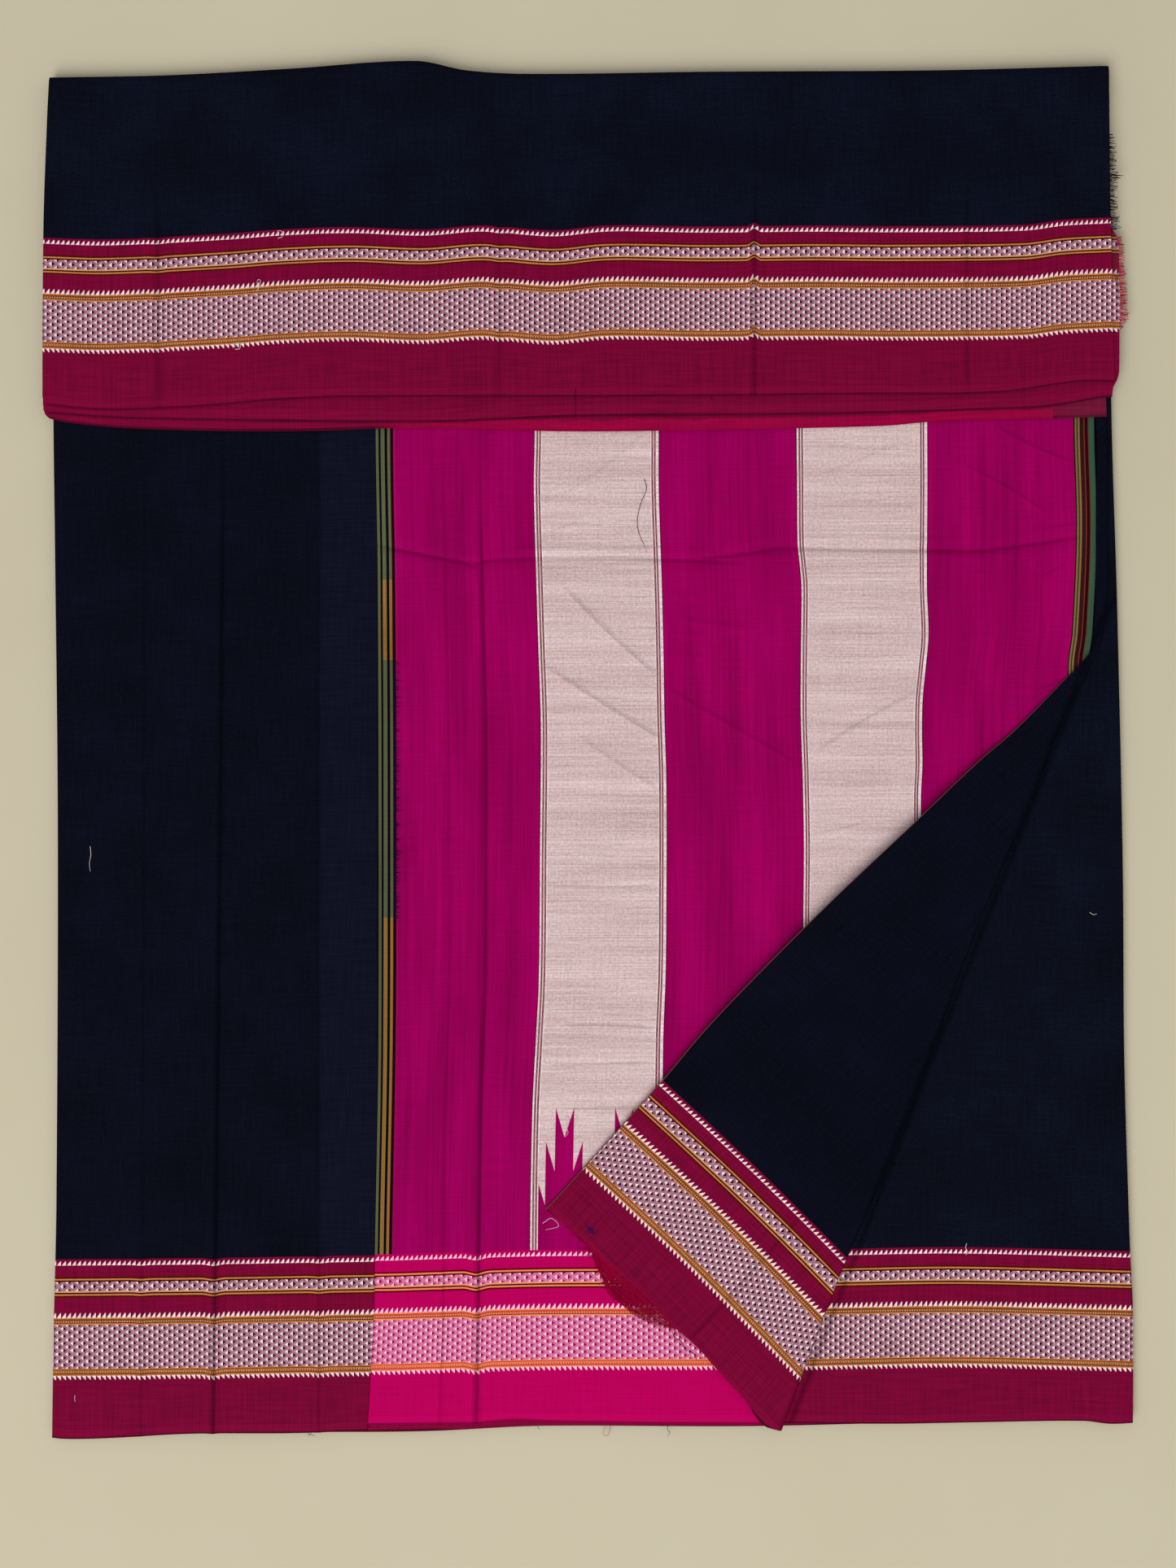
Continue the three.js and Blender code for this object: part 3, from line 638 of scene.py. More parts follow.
def pressed(u, v, creases):
    """The sharp middle of the creases, in millimetres, and how far painted shade darkens it. Their broad
    shape is in the mesh"""
    heights, shade_depths = [], []
    for crease in creases:
        along, across = crease.place(u, v)
        share = (across * (-SHARPER / crease.left)).most(across * (SHARPER / crease.right))
        start, end = along.ramp(0, CREASE_FADE), (along * -1 + 1).ramp(0, CREASE_FADE)
        peak = (share * -1 + 1).most(0) * start * end
        heights.append(peak * (crease.height / SHARPER))
        shade_depths.append(peak * abs(crease.height))
    return reduce(Number.__add__, heights), reduce(Number.most, shade_depths)


NAVY = (11, 14, 28)
SMUDGE_SIZE = (7, 2.6)  # half its length, and half its height


def field_material(name, navy=NAVY, creases=(), paler=None, sheer=None, smudge=None):
    """The dark field and its border. paler is a stretch of the field that lies a little bluer, from u to u,
    sheer is a stretch of its hem that shows the pink cloth below: from u to u, and how high. smudge is the
    middle of a small stain"""
    material, u, v = start_material(name)
    along, across = threads_of(u, v)
    mottle = noise(u * 0.02, v * 0.02, 3, 3) + noise(u * 0.5, v * 0.5, 12, 3)
    dull, lit = [srgb(*[c * share for c in navy]) for share in (0.78, 1.26)]
    field = blend(mottle.ramp(0.7, 1.3), dull, lit)
    if paler:
        within = u.ramp(paler[0] - 1.5, paler[0] + 1.5) * (u < paler[1])
        field = blend(within * 0.7, field, srgb(18, 19, 38))
    pattern = border(u, v, FIELD_TONES)
    if sheer:
        start, end, high = sheer
        wavy = noise(u * 0.05, v * 0.02, 13) * 4 - 2
        thin = u.ramp(start, start + 20) * (u < end) * (v - wavy < high)
        pattern = blend(thin * 0.7, pattern, srgb(164, 4, 66))
        pattern = blend(u.ramp(end - 14, end + 16) * 0.4, pattern, srgb(98, 36, 56))
    if smudge:
        long, high = [((at - middle) / half).size() for at, middle, half in zip((u, v), smudge, SMUDGE_SIZE)]
        aside = long + high + (along - 0.5) * 1.2
        pattern = blend((aside * -1 + 1).ramp(0, 0.5) * 0.85, pattern, srgb(48, 10, 74))
    uneven = (along + across) * 0.8 + 0.2
    colour = blend(v < BORDER_TOP, field, pattern)
    colour = shade(colour, uneven)
    raised = (along + across) * 0.2 + noise(u * 2.4, v * 2.4, 4, 1) * 0.08
    if creases:
        # painted shade: the colour darkens along the creases, most where they stand highest or sink deepest
        crisp, crease_shade = pressed(u, v, creases)
        colour = shade(colour, crease_shade * -0.32 + 1)
        raised = raised + crisp
    finish_material(colour, raised, along * 0.2 + 0.68, 0.02)
    return material


# Lines along the white panels' edges, as distances from the first
LEFT_LINES = [
    (0, "shadow"), (0.7, "white"), (1.9, "stripe"), (3.15, "white"), (3.8, "stripe"), (5.05, "white"),
    (5.9, "panel"),
]
RIGHT_LINES = [
    (0, "white"), (0.75, "stripe"), (2.0, "white"), (2.55, "stripe"), (3.75, "white"), (5.7, "shadow"),
    (6.4, "magenta"),
]


def placed(lines, start):
    return [(start + at, tone) for at, tone in lines]


PALLU_BANDS = [
    [
        (0, "navy"), (0.3, "thread"), (2.2, "navy"), (3.7, "thread"), (6.4, "navy"), (8.3, "thread"),
        (10.2, "wine"), (12.4, "rose"), (13.4, "magenta"),
    ],
    placed(LEFT_LINES, 110.2),
    placed(RIGHT_LINES, 191.25),
    placed(LEFT_LINES, 292.2),
    placed(RIGHT_LINES, 377.8),
    [
        (485.3, "wine"), (486.1, "sand"), (487.3, "bronze"), (488.3, "sand"), (489.5, "umber"),
        (492.3, "rust"), (493.0, "blood"), (495.2, "olive"), (496.1, "teal"), (499.5, "navy"),
    ],
]
PANELS = [(110.9, 197.0), (292.9, 383.4)]
# The join's lines that turn gold, in one stretch and again near the foot
GOLD_LINES = [(3.7, 6.4), (8.3, 10.2)]
GOLD_STRETCH = (534, 590)
GOLD_BELOW = 355
STRAY_STRETCH = (354, 534)  # dark threads run on into the magenta here
STRAY_FROM = 10.2
# The toothed foot of the first white panel
SPIKES = (116.0, 191.4)
SPIKE_PITCH = 39.1
SPIKE_CENTRE = 132.6
SPIKE_STEP = 6.07
SPIKE_VALLEY = 199.2
SPIKE_DROP = 23.5
SPIKE_SLOPE = 3.4


def pallu_material(creases):
    material, u, v = start_material("pallu_cloth")
    along, across = threads_of(u, v)
    tones = {
        "thread": srgb(88, 92, 64),
        "navy": srgb(6, 8, 18),
        "wine": srgb(38, 3, 12),
        "rose": srgb(146, 16, 84),
        "magenta": srgb(152, 0, 88),
        "shadow": srgb(104, 0, 56),
        "stripe": srgb(116, 0, 58),
        "white": srgb(255, 240, 243),
        "panel": srgb(234, 212, 214),
        "sand": srgb(118, 104, 68),
        "bronze": srgb(72, 52, 20),
        "umber": srgb(56, 18, 18),
        "rust": srgb(100, 54, 48),
        "blood": srgb(52, 2, 8),
        "olive": srgb(80, 64, 48),
        "teal": srgb(58, 90, 70),
    }
    colour = bands(u, PALLU_BANDS, tones)
    gold = v.within(*GOLD_STRETCH).most(v < GOLD_BELOW)
    first, second = [u.within(*edges) for edges in GOLD_LINES]
    colour = blend(first.most(second) * gold, colour, srgb(142, 104, 52))
    # the dark threads that run on into the magenta beside the join
    reach = noise(u * 0.02, v * 2.1, 7, 4) * 19 + 5
    strayed = v.within(*STRAY_STRETCH) * (u > STRAY_FROM) * (reach - u).ramp(0, 3.5)
    colour = blend(strayed, colour, srgb(26, 8, 42))
    # the first white panel's toothed foot
    from_centre = ((u - SPIKE_CENTRE) / SPIKE_PITCH).offset().size() * SPIKE_PITCH
    rise = (from_centre / SPIKE_STEP).floor()
    top = (from_centre - rise * SPIKE_STEP) * SPIKE_SLOPE - rise * SPIKE_DROP + SPIKE_VALLEY
    foot = u.within(*SPIKES) * (top - v > 0)
    colour = blend(foot, colour, tones["magenta"])
    # slubs: short thick places of the weft in the white panels, and streaks along the magenta's warp
    first, second = [u.within(*edges) for edges in PANELS]
    white = first.most(second) * (foot < 0.5)
    slubs = noise(u * 0.013, v * 1.1, 6, 5)
    bars = noise(u * 0.004, v * 0.09, 9, 3)
    grain = noise(u * 0.6, v * 0.6, 10)
    worn = (slubs * 0.8 + bars * 0.5 + grain * 0.7).ramp(0.75, 1.25)
    colour = blend(white * worn * 0.75, colour, srgb(168, 136, 136))
    streaks = noise(u * 0.5, v * 0.007, 5, 4)
    wide = noise(u * 0.04, v * 0.006, 11, 3)
    colour = shade(colour, (streaks * 0.6 + wide * 0.9 - 0.74) * (white < 0.5) + 1)
    pattern = border(u, v, PALLU_TONES)
    colour = blend(v < BORDER_TOP, colour, pattern)
    colour = shade(colour, (along + across) * 0.3 + 0.7)
    # painted shade: the colour darkens along the creases
    crisp, crease_shade = pressed(u, v, creases)
    colour = shade(colour, crease_shade * -0.24 + 1)
    raised = (along + across) * 0.22 + grain * 0.1 + crisp
    finish_material(colour, raised, along * 0.2 + 0.5, 0.01)
    return material


def thread_material(name, colour, specular=0.1):
    """Loose yarn, a little uneven in colour"""
    material, u, v = start_material(name)
    uneven = noise(u * 0.8, v * 0.8, 8)
    tone = shade(srgb(*colour)[:3], uneven * 0.8 + 0.6)
    finish_material(tone, uneven * 0.05, uneven * 0.2 + 0.6, specular)
    return material


stack_cloth = field_material("stack_cloth", (10, 13, 26))
white_thread = thread_material("white_thread", (226, 214, 208))
red_thread = thread_material("red_thread", (148, 4, 52), 0.01)
dark_thread = thread_material("dark_thread", (16, 14, 26), 0.01)
pink_thread = thread_material("pink_thread", (214, 60, 140))
edge_thread = thread_material("edge_thread", (110, 70, 52))


def fray_material():
    """Cut ends of the border's threads, in its colours"""
    material, u, v = start_material("frayed_border")
    pick = noise(u * 0.02, v * 0.9, 14)
    colour = blend(pick > 0.46, srgb(122, 8, 50), srgb(186, 34, 84))
    for start, tone in ((0.53, (196, 116, 62)), (0.57, (150, 10, 60)), (0.62, (224, 170, 170))):
        colour = blend(pick > start, colour, srgb(*tone))
    finish_material(colour, pick * 0.1, 0.8, 0.05)
    return material


frayed_border = fray_material()


# Front sheets


def woven_height(x, y, hem, top, dips=(), scale=1):
    """How far a point is from the selvedge: true to the border's lines, and stretched in its plain foot so
    that the selvedge stays at 0"""
    top_y = follow(top, x) - dip(x, dips)
    hem_y = follow(hem, x)
    foot_y = top_y - (BORDER_TOP - FOOT) * scale
    patterned = BORDER_TOP - (top_y - y) / scale
    plain = FOOT * (y - hem_y) / (foot_y - hem_y)
    return np.where(y > foot_y, patterned, plain)


def refined(start, end, places):
    """Steps that are closer together beside the given places"""
    at = [start]
    while at[-1] < end:
        near = min((abs(at[-1] - place) for place in places), default=end) < CREASE_REACH
        at.append(min(end, at[-1] + (CREASE_GRID if near else GRID)))
    return np.array(at)


def front_points(guides, hem, level_creases=()):
    """The x and y of a front sheet's points. guides are (line up the sheet, spacing of the points after it),
    and level_creases are the places of the creases that cross it"""
    lines = np.concatenate([
        refined(HEM_LINE, COVERED_FROM, level_creases),
        steps(COVERED_FROM, TUCKED_END, HIDDEN_GRID)[1:],
    ])
    columns = []
    for (a, spacing), (b, _) in zip(guides, guides[1:]):
        widest = max(abs(b(at) - a(at)) for at in (HEM_LINE, 0, 220))
        count = max(1, round(widest / spacing))
        columns += [(a, b, k / count) for k in range(count)]
    columns.append((guides[-2][0], guides[-1][0], 1))
    share = (lines - HEM_LINE) / (TUCKED_END - HEM_LINE)
    x = np.empty((len(lines), len(columns)))
    y = np.empty_like(x)
    for j, (a, b, part) in enumerate(columns):
        y[:, j] = mix(follow(hem, mix(a(lines), b(lines), part)), TUCKED_END, share)
        x[:, j] = mix(a(y[:, j]), b(y[:, j]), part)
    return x, y


EDGE_TURN = 1.4  # radius of the turn at the pack's side edges
EDGE_TAIL = 0.7  # how far a sheet runs on below it
EDGE_INSET = PLY / 2 + EDGE_TURN


def turned_edge(points, side):
    """Adds the part of a sheet that turns down over the pack's left (-1) or right (1) edge"""
    angles = np.radians([72, 54, 36, 18, 0, 0])
    turn = np.repeat(points[:, [0 if side < 0 else -1]], len(angles), axis=1)
    turn[..., 0] += side * EDGE_INSET * np.cos(angles)
    turn[..., 2] = level(0) + PLY / 2 - EDGE_TURN + EDGE_INSET * np.sin(angles)
    turn[:, -1, 2] -= EDGE_TAIL
    return np.concatenate([turn[:, ::-1], points] if side < 0 else [points, turn], axis=1)


def line(table, offset=0):
    return lambda y: follow(table, y) + offset


def crease_line(crease, offset):
    slope = (crease.x1 - crease.x0) / (crease.y1 - crease.y0)
    return lambda y: crease.x0 + (y - crease.y0) * slope + offset


def with_creases(start, creases, end):
    """Guides up a sheet, closer together beside the creases that run up it"""
    guides = [(start, GRID)]
    for crease in creases:
        for offset, spacing in ((-crease.left, CREASE_GRID), (0, CREASE_GRID), (crease.right, GRID)):
            guides.append((crease_line(crease, offset), spacing))
    return [*guides, (end, GRID)]


def unrolled(points):
    """Place along each row of points, measured over the cloth, and equal to x where the cloth lies flat"""
    apart = np.diff(points, axis=1)
    run = np.hypot(apart[..., 0], apart[..., 2])
    length = np.concatenate([np.zeros((len(points), 1)), np.cumsum(run, axis=1)], axis=1)
    middle = points.shape[1] // 2
    return length - length[:, middle : middle + 1] + points[:, middle : middle + 1, 0]


def panel_place(x, y):
    """Place along the length in the end panel, whose stripes wander a little"""
    tables = [PALLU_START, PANEL_1_LEFT, PANEL_1_RIGHT, PANEL_2_LEFT, PANEL_2_RIGHT, RIGHT_STRIPES]
    at_top = [follow(table, TOP_SHOWN) for table in tables]
    lines = [follow(table, y) for table in tables]
    u = np.minimum(x - lines[0], 0)
    for k in range(len(tables) - 1):
        share = np.clip((x - lines[k]) / (lines[k + 1] - lines[k]), 0, 1)
        u = u + share * (at_top[k + 1] - at_top[k])
    return u + np.maximum(x - lines[-1], 0)


def woven_creases(creases, hem, top, scale=1, place=lambda x, y: x):
    """Creases in the cloth's own measures. place gives the place along the length"""
    found = []
    for crease in creases:
        x, y = np.array([[crease.x0, crease.x1], [crease.y0, crease.y1]], float)
        u = place(x, y)
        v = woven_height(x, y, hem, top, scale=scale)
        found.append(crease._replace(x0=u[0], y0=v[0], x1=u[1], y1=v[1]))
    return found


DEEPEST = -0.95  # no trough reaches the plies below


def lay_front(node, cloth, slot, guides, hem, top, creases, side=0, dips=(), crossing=()):
    """A front sheet. side is -1 or 1 where it turns down over the pack's left or right edge"""
    x, y = front_points(guides, hem, crossing)
    raised = np.maximum(relief(x, y, creases), DEEPEST) + FRONT_SWELL * swell(x, y)
    points = joined(x, y, face(0) + (1 - smooth(y, *FLATTENED)) * raised)
    if side:
        points = turned_edge(points, side)
    u = unrolled(points) if side else panel_place(x, y)
    v = woven_height(points[..., 0], points[..., 1], hem, top, dips)
    sheet(node, points, joined(u, v), cloth)


def make_body_left():
    creases = LEFT_CREASES[:3]
    # the first three creases darken the cloth's colour with painted shade
    crease_shade = woven_creases(creases, LEFT_HEM, FRONT_BORDER)
    cloth = field_material("left_cloth", (10, 12, 25), crease_shade, paler=(-187, -147))
    guides = with_creases(line(LEFT_EDGE, EDGE_INSET), creases, line(PALLU_START))
    front = (guides, LEFT_HEM, FRONT_BORDER, LEFT_CREASES)
    lay_front("body_left", cloth, "field_cloth", *front, side=-1, dips=FRONT_DIPS)


def make_pallu():
    cloth = pallu_material(woven_creases(PALLU_CREASES, PALLU_HEM, PALLU_BORDER, place=panel_place))
    guides = with_creases(line(PALLU_START, CLEAR), PALLU_CREASES[:2], line(PALLU_END))
    front = (guides, PALLU_HEM, PALLU_BORDER, PALLU_CREASES)
    lay_front("pallu", cloth, "pallu_cloth", *front, dips=FRONT_DIPS, crossing=CROSSING_CREASES)


def make_body_right():
    # a painted shadow of the flap's fold, on the cloth just right of it
    x0, x1 = FOLD_LINE.x0 + BESIDE_FOLD, FOLD_LINE.x1 + BESIDE_FOLD
    crease_shade = woven_creases([FOLD_LINE._replace(x0=x0, x1=x1)], RIGHT_HEM, FRONT_BORDER)
    cloth = field_material("right_cloth", (11, 14, 27), crease_shade)
    guides = [(line(PALLU_END, CLEAR), GRID), (line(RIGHT_EDGE, -EDGE_INSET), GRID)]
    lay_front("body_right", cloth, "field_cloth", guides, RIGHT_HEM, FRONT_BORDER, RIGHT_CREASES, side=1)


# Hidden plies

STACK_PLIES = 8
CORNER = 4  # radius of the pack's corners
OUTLINE_STEP = 4
# A ply's round edge, (share of its height, how far in)
PLY_EDGE = [(0, 0.7), (0.2, 0.15), (0.5, 0), (0.8, 0.15)]


def pack_outline():
    """The pack's outline, anticlockwise, with round corners"""
    low, high = HEM_LINE + CORNER, TUCKED_END - CORNER
    left, right = line(LEFT_EDGE), line(RIGHT_EDGE)
    foot_left, foot_right = left(low) + CORNER, right(low) - CORNER

    def corner(x, y, start):
        angles = np.radians(np.linspace(start, start + 90, 6))
        return joined(x + CORNER * np.cos(angles), y + CORNER * np.sin(angles))

    across = steps(foot_left, foot_right, OUTLINE_STEP)[1:-1]
    up = steps(low, high, OUTLINE_STEP)[1:-1]
    return np.concatenate([
        corner(foot_left, follow(STACK_HEM, foot_left) + CORNER, 180),
        joined(across, follow(STACK_HEM, across)),
        corner(foot_right, follow(STACK_HEM, foot_right) + CORNER, 270),
        joined(right(up), up),
        corner(right(high) - CORNER, high, 0),
        corner(left(high) + CORNER, high, 90),
        joined(left(up[::-1]), up[::-1]),
    ])


def make_stack():
    """The hidden plies: their edges, one over another, with hems that don't quite meet"""
    outline = pack_outline()
    along = unit(np.roll(outline, -1, axis=0) - np.roll(outline, 1, axis=0))
    out = joined(along[:, 1], -along[:, 0])
    hem_side = smooth(-out[:, 1], 0.5, 0.9)
    run = np.arange(len(outline)) * OUTLINE_STEP
    pitch = STACK_TOP / STACK_PLIES
    rings = []
    for k in range(STACK_PLIES):
        wander = 0.5 + 0.5 * np.sin(run / (83 + 9 * k) + 2.3 * k)
        stands = -0.2 - wander * (0.5 + 0.7 * hem_side)
        for share, depth in PLY_EDGE:
            rings.append((k * pitch + share * pitch, stands - depth))
    rings.append((STACK_TOP, rings[-1][1] - 0.6))
    points = np.concatenate([raised_to(outline + out * stands[:, None], z) for z, stands in rings])
    faces = tube(np.arange(len(points)).reshape(-1, len(outline)))
    v = woven_height(points[:, 0], points[:, 1], STACK_HEM, FRONT_BORDER)
    woven = joined(points[:, 0], np.maximum(v, 0))
    piece = mesh_of("cloth_stack", points, faces, woven, stack_cloth)
    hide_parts("stack")


# The part turned down over the front

TURN_RADIUS = face(3) / 2
TURN_STEPS = 14
HEM_CORNER = 5.5  # the hems end in a round fold on the left
BAND_SPAN = 225  # about how far the plies run, from their hems to the turn
BAND_SHOWN = 0.2  # share of a lower ply that has close points, as its hem shows
BAND_GRID = 8


def band_grid(n, hem, right, creases, rows):
    """The flat part of a turned-down ply"""
    left, right_end = BAND_LEFT[0][1], BAND_RIGHT[0][1]
    places = refined(left, right_end, [left, *[crease.x0 for crease in creases[:3]]])
    share = (places - left) / (right_end - left)
    turn = follow(TOP_EDGE, places) - TURN_RADIUS
    from_corner = np.clip(1 - (places - left) / HEM_CORNER, 0, 1)
    hem_y = follow(hem, places) + HEM_CORNER * (1 - np.sqrt(1 - from_corner**2))
    y = mix(hem_y[None, :], turn[None, :], rows[:, None])
    x = mix(follow(BAND_LEFT, y), follow(right, y), share[None, :])
    wave = WAVE_HEIGHT * (1 + np.sin(2 * np.pi * x / WAVE_LENGTH))
    settled = np.clip((y - WAVE_START) / (WAVE_END - WAVE_START), 0, 1)
    points = joined(x, y, face(n) + wave * (1 - settled) + relief(x, y, creases))
    return points, joined(x, woven_height(x, y, hem, BAND_BORDER, BAND_DIPS, BAND_SCALE))


def make_band_1():
    # these creases darken the band's colour with painted shade
    creases = woven_creases(BAND_CREASES[:5], HEM_1, BAND_BORDER, BAND_SCALE)
    cloth = field_material("band_cloth", NAVY, creases)
    points, woven = band_grid(3, HEM_1, BAND_RIGHT, BAND_CREASES, steps(0, 1, GRID / BAND_SPAN))
    sway = BAND_SWELL * swell(points[..., 0], points[..., 1] * 1.5)
    points[..., 2] += sway * (1 - smooth(points[..., 1], 430, 460))
    angles = np.append(np.linspace(0, math.pi, TURN_STEPS + 1)[1:], math.pi)[:, None]
    tail = np.append(np.zeros(TURN_STEPS), TURN_TAIL)[:, None]
    turn = np.repeat(points[-1:], len(angles), axis=0)
    turn[..., 1] += TURN_RADIUS * np.sin(angles) - tail
    turn[..., 2] = TURN_RADIUS * (1 + np.cos(angles))
    places = np.repeat(woven[-1:], len(angles), axis=0)
    places[..., 1] += TURN_RADIUS * angles + tail
    points = np.concatenate([points, turn])
    woven = np.concatenate([woven, places])
    sheet("band_1", points, woven, cloth)


def make_lower_band(node, n, hem, right, material):
    close = steps(0, BAND_SHOWN, GRID / BAND_SPAN)
    rows = np.concatenate([close, steps(BAND_SHOWN, 1, BAND_GRID / BAND_SPAN)[1:]])
    points, woven = band_grid(n, hem, right, [], rows)
    sheet(node, points, woven, material)


# The loose end

FLAP_CORNER, FLAP_FOLD = np.array(FLAP_ROWS[-1][:2]), np.array(FLAP_ROWS[-1][2:4])
HEM_WAY = unit(FLAP_FOLD - FLAP_CORNER)
HEM_OUT = np.array([HEM_WAY[1], -HEM_WAY[0]])


def flap_rows():
    """The flap's rows, filled in between those of the table, from the hem up"""
    table = np.array(FLAP_ROWS)
    lengths = np.hypot(*np.diff(table[:, 2:4], axis=0).T)
    at = [0.0]
    for k, length in enumerate(lengths):
        at += list(steps(k, k + 1, GRID / length)[1:])
    at = np.array(at)[::-1]
    return at, [follow(list(enumerate(column)), at) for column in table.T]


def flap_crease(crease):
    """A crease in the flap's own measures"""
    ends = np.array([[crease.x0, crease.y0], [crease.x1, crease.y1]]) - FLAP_CORNER
    (u0, u1), (v0, v1) = ends @ WARP, ends @ WEFT
    return crease._replace(x0=u0, y0=v0, x1=u1, y1=v1)


def make_flap(fringe):
    # painted shade darkens the flap along its fold and along one crease
    creases = [flap_crease(crease) for crease in (FOLD_LINE, FLAP_CREASES[2])]
    cloth = field_material("flap_cloth", (9, 11, 24), creases, smudge=(32.7, 11.2))
    at, (end_x, end_y, fold_x, fold_y, tuck, lift) = flap_rows()
    end, fold = joined(end_x, end_y), joined(fold_x, fold_y)
    across = unit(fold - end)
    centre = fold - across * (PLY / 2 + FOLD_RADIUS)
    width = np.linalg.norm(centre - end, axis=1)
    lowest = level(1) + PLY / 2
    outer = FOLD_RADIUS + PLY / 2

    # the upper ply, from the cut end to the fold
    share = np.linspace(0, 1, FLAP_COLUMNS) ** 1.05
    past = (1 - share[None, :]) * width[:, None] - tuck[:, None]
    over = 1 - smooth(past, *SETTLE)
    over[:, -1] = 1
    flat = mix(end[:, None, :], centre[:, None, :], share[None, :, None])
    swing = np.clip(at - (len(FLAP_ROWS) - 2), 0, 1)[:, None] * follow(FLAP_HEM, share)[None, :]
    flat = flat + swing[..., None] * HEM_OUT
    z = lowest + PLY / 2 + 2 * FOLD_RADIUS * over + lift[:, None] * (1 - share[None, :]) ** 1.2 * (1 - over)
    x, y = np.moveaxis(flat, -1, 0)
    z = z + smooth(width, 20, 80)[:, None] * (relief(x, y, FLAP_CREASES) + FLAP_SWELL * swell(x, y))

    # the fold, and the ply that returns under it
    points, places = [], []
    for angle in np.linspace(0, math.pi, 9)[1:]:
        out = centre + across * outer * math.sin(angle)
        points.append(raised_to(out, lowest + FOLD_RADIUS + outer * math.cos(angle)))
        places.append(centre + across * outer * angle)
    for part in np.linspace(0, 1, 8)[1:]:
        points.append(raised_to(centre - across * (part * tuck)[:, None], lowest - PLY / 2))
        places.append(centre + across * (outer * math.pi + part * tuck[:, None]))
    points = np.concatenate([joined(x, y, z), np.stack(points, axis=1)], axis=1)
    places = np.concatenate([flat, np.stack(places, axis=1)], axis=1) - FLAP_CORNER

    u = places @ WARP
    v = np.maximum(places @ WEFT, 0)
    bow = HEM_BOW * np.sin(np.clip(u / HEM_BOW_LENGTH, 0, 1) * np.pi)
    bow = bow * (1 - smooth(v, 100, 200)) * smooth(v, 0, 40)
    sheet("flap", points, joined(u, v - bow), cloth)


# Cut and loose threads

FRINGE_RADIUS = 0.3
FRAY_RADIUS = 0.24
LOOSE_RADIUS = 0.22
EDGE_RADIUS = 0.35


def yarn(name, strands, woven, radius, material):
    """Threads as one mesh of thin tubes. strands holds each one's points, and woven each one's place"""
    points, places, faces = [], [], []
    angles = np.radians([0, 90, 180, 270])
    count = 0
    for strand, place in zip(strands, woven):
        way = unit(np.gradient(strand, axis=0))
        aside = unit(np.cross(way, [0.0, 0.0, 1.0]))
        up = np.cross(aside, way)
        taper = np.linspace(1, 0.55, len(strand))[:, None]
        rings = [strand + radius * taper * (aside * math.cos(a) + up * math.sin(a)) for a in angles]
        points.append(np.stack(rings, axis=1).reshape(-1, 3))
        places.append(np.tile(place, (len(points[-1]), 1)))
        faces += tube(count + np.arange(len(points[-1])).reshape(-1, len(angles)))
        count += len(points[-1])
    return mesh_of(name, np.concatenate(points), faces, np.concatenate(places), material)


def edge_fringe(node, table, start, end, n, count, lengths, material):
    """Cut threads that stand out of a ply's right edge. lengths are (y, about how long they are there)"""
    rng = np.random.default_rng(count)
    strands, woven = [], []
    for y in np.linspace(start, end, count):
        x = follow(table, y) - 0.5
        length = follow(lengths, y) * rng.uniform(0.7, 1.15)
        lean, curl = rng.normal(0, 0.12, 2)
        t = np.linspace(0, 1, 5)
        z = face(n) - 0.35 - 0.9 * t**2 * rng.uniform(0, 1)
        strands.append(joined(x + length * t, y + length * (lean * t + curl * t * t), z))
        woven.append((0, y))
    piece = yarn(f"{node}_threads", strands, woven, FRINGE_RADIUS, material)
    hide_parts(node)
    return piece


# How far the flap's frayed hem reaches past its weave, (share along the hem, distance)
FRAY_REACH = [
    (0.13, 0), (0.19, 3.5), (0.243, 9), (0.32, 16.5), (0.39, 16.3), (0.46, 13.7), (0.52, 5.6), (0.56, 0),
]
FRAY_RUNS = 62  # threads along the hem
FRAY_ENDS = 130  # threads across it


def flap_fringe():
    """The flap's frayed hem: threads that have come away along it, and cut ends across them"""
    rng = np.random.default_rng(11)
    strands, woven = [], []

    def lay(share, reach):
        root = mix(FLAP_CORNER, FLAP_FOLD, share[:, None])
        path = root + HEM_OUT * (follow(FLAP_HEM, share) - 0.8 + reach)[:, None]
        settled = smooth(reach, 0, 3)
        strands.append(raised_to(path, mix(face(1) - 0.3, face(0) + 0.5 + rng.uniform(0, 0.3), settled)))
        woven.append(tuple(rng.uniform(0, 90, 2)))

    for depth in rng.uniform(0.05, 1, FRAY_RUNS):
        share = np.linspace(rng.uniform(0.13, 0.27), rng.uniform(0.4, 0.56), 22)
        wander = 0.5 * np.sin(share * rng.uniform(30, 70) + rng.uniform(0, 6))
        lay(share, np.maximum(follow(FRAY_REACH, share) * depth + wander, 0))
    for foot in rng.uniform(0.15, 0.55, FRAY_ENDS):
        share = foot + rng.normal(0, 0.03) * np.linspace(0, 1, 6)
        length = follow(FRAY_REACH, foot) * rng.uniform(0.5, 1.1) + 1
        lay(share, length * np.linspace(0, 1, 6))
    piece = yarn("fringe_flap_threads", strands, woven, FRAY_RADIUS, red_thread)
    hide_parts("fringe_flap")
    return piece


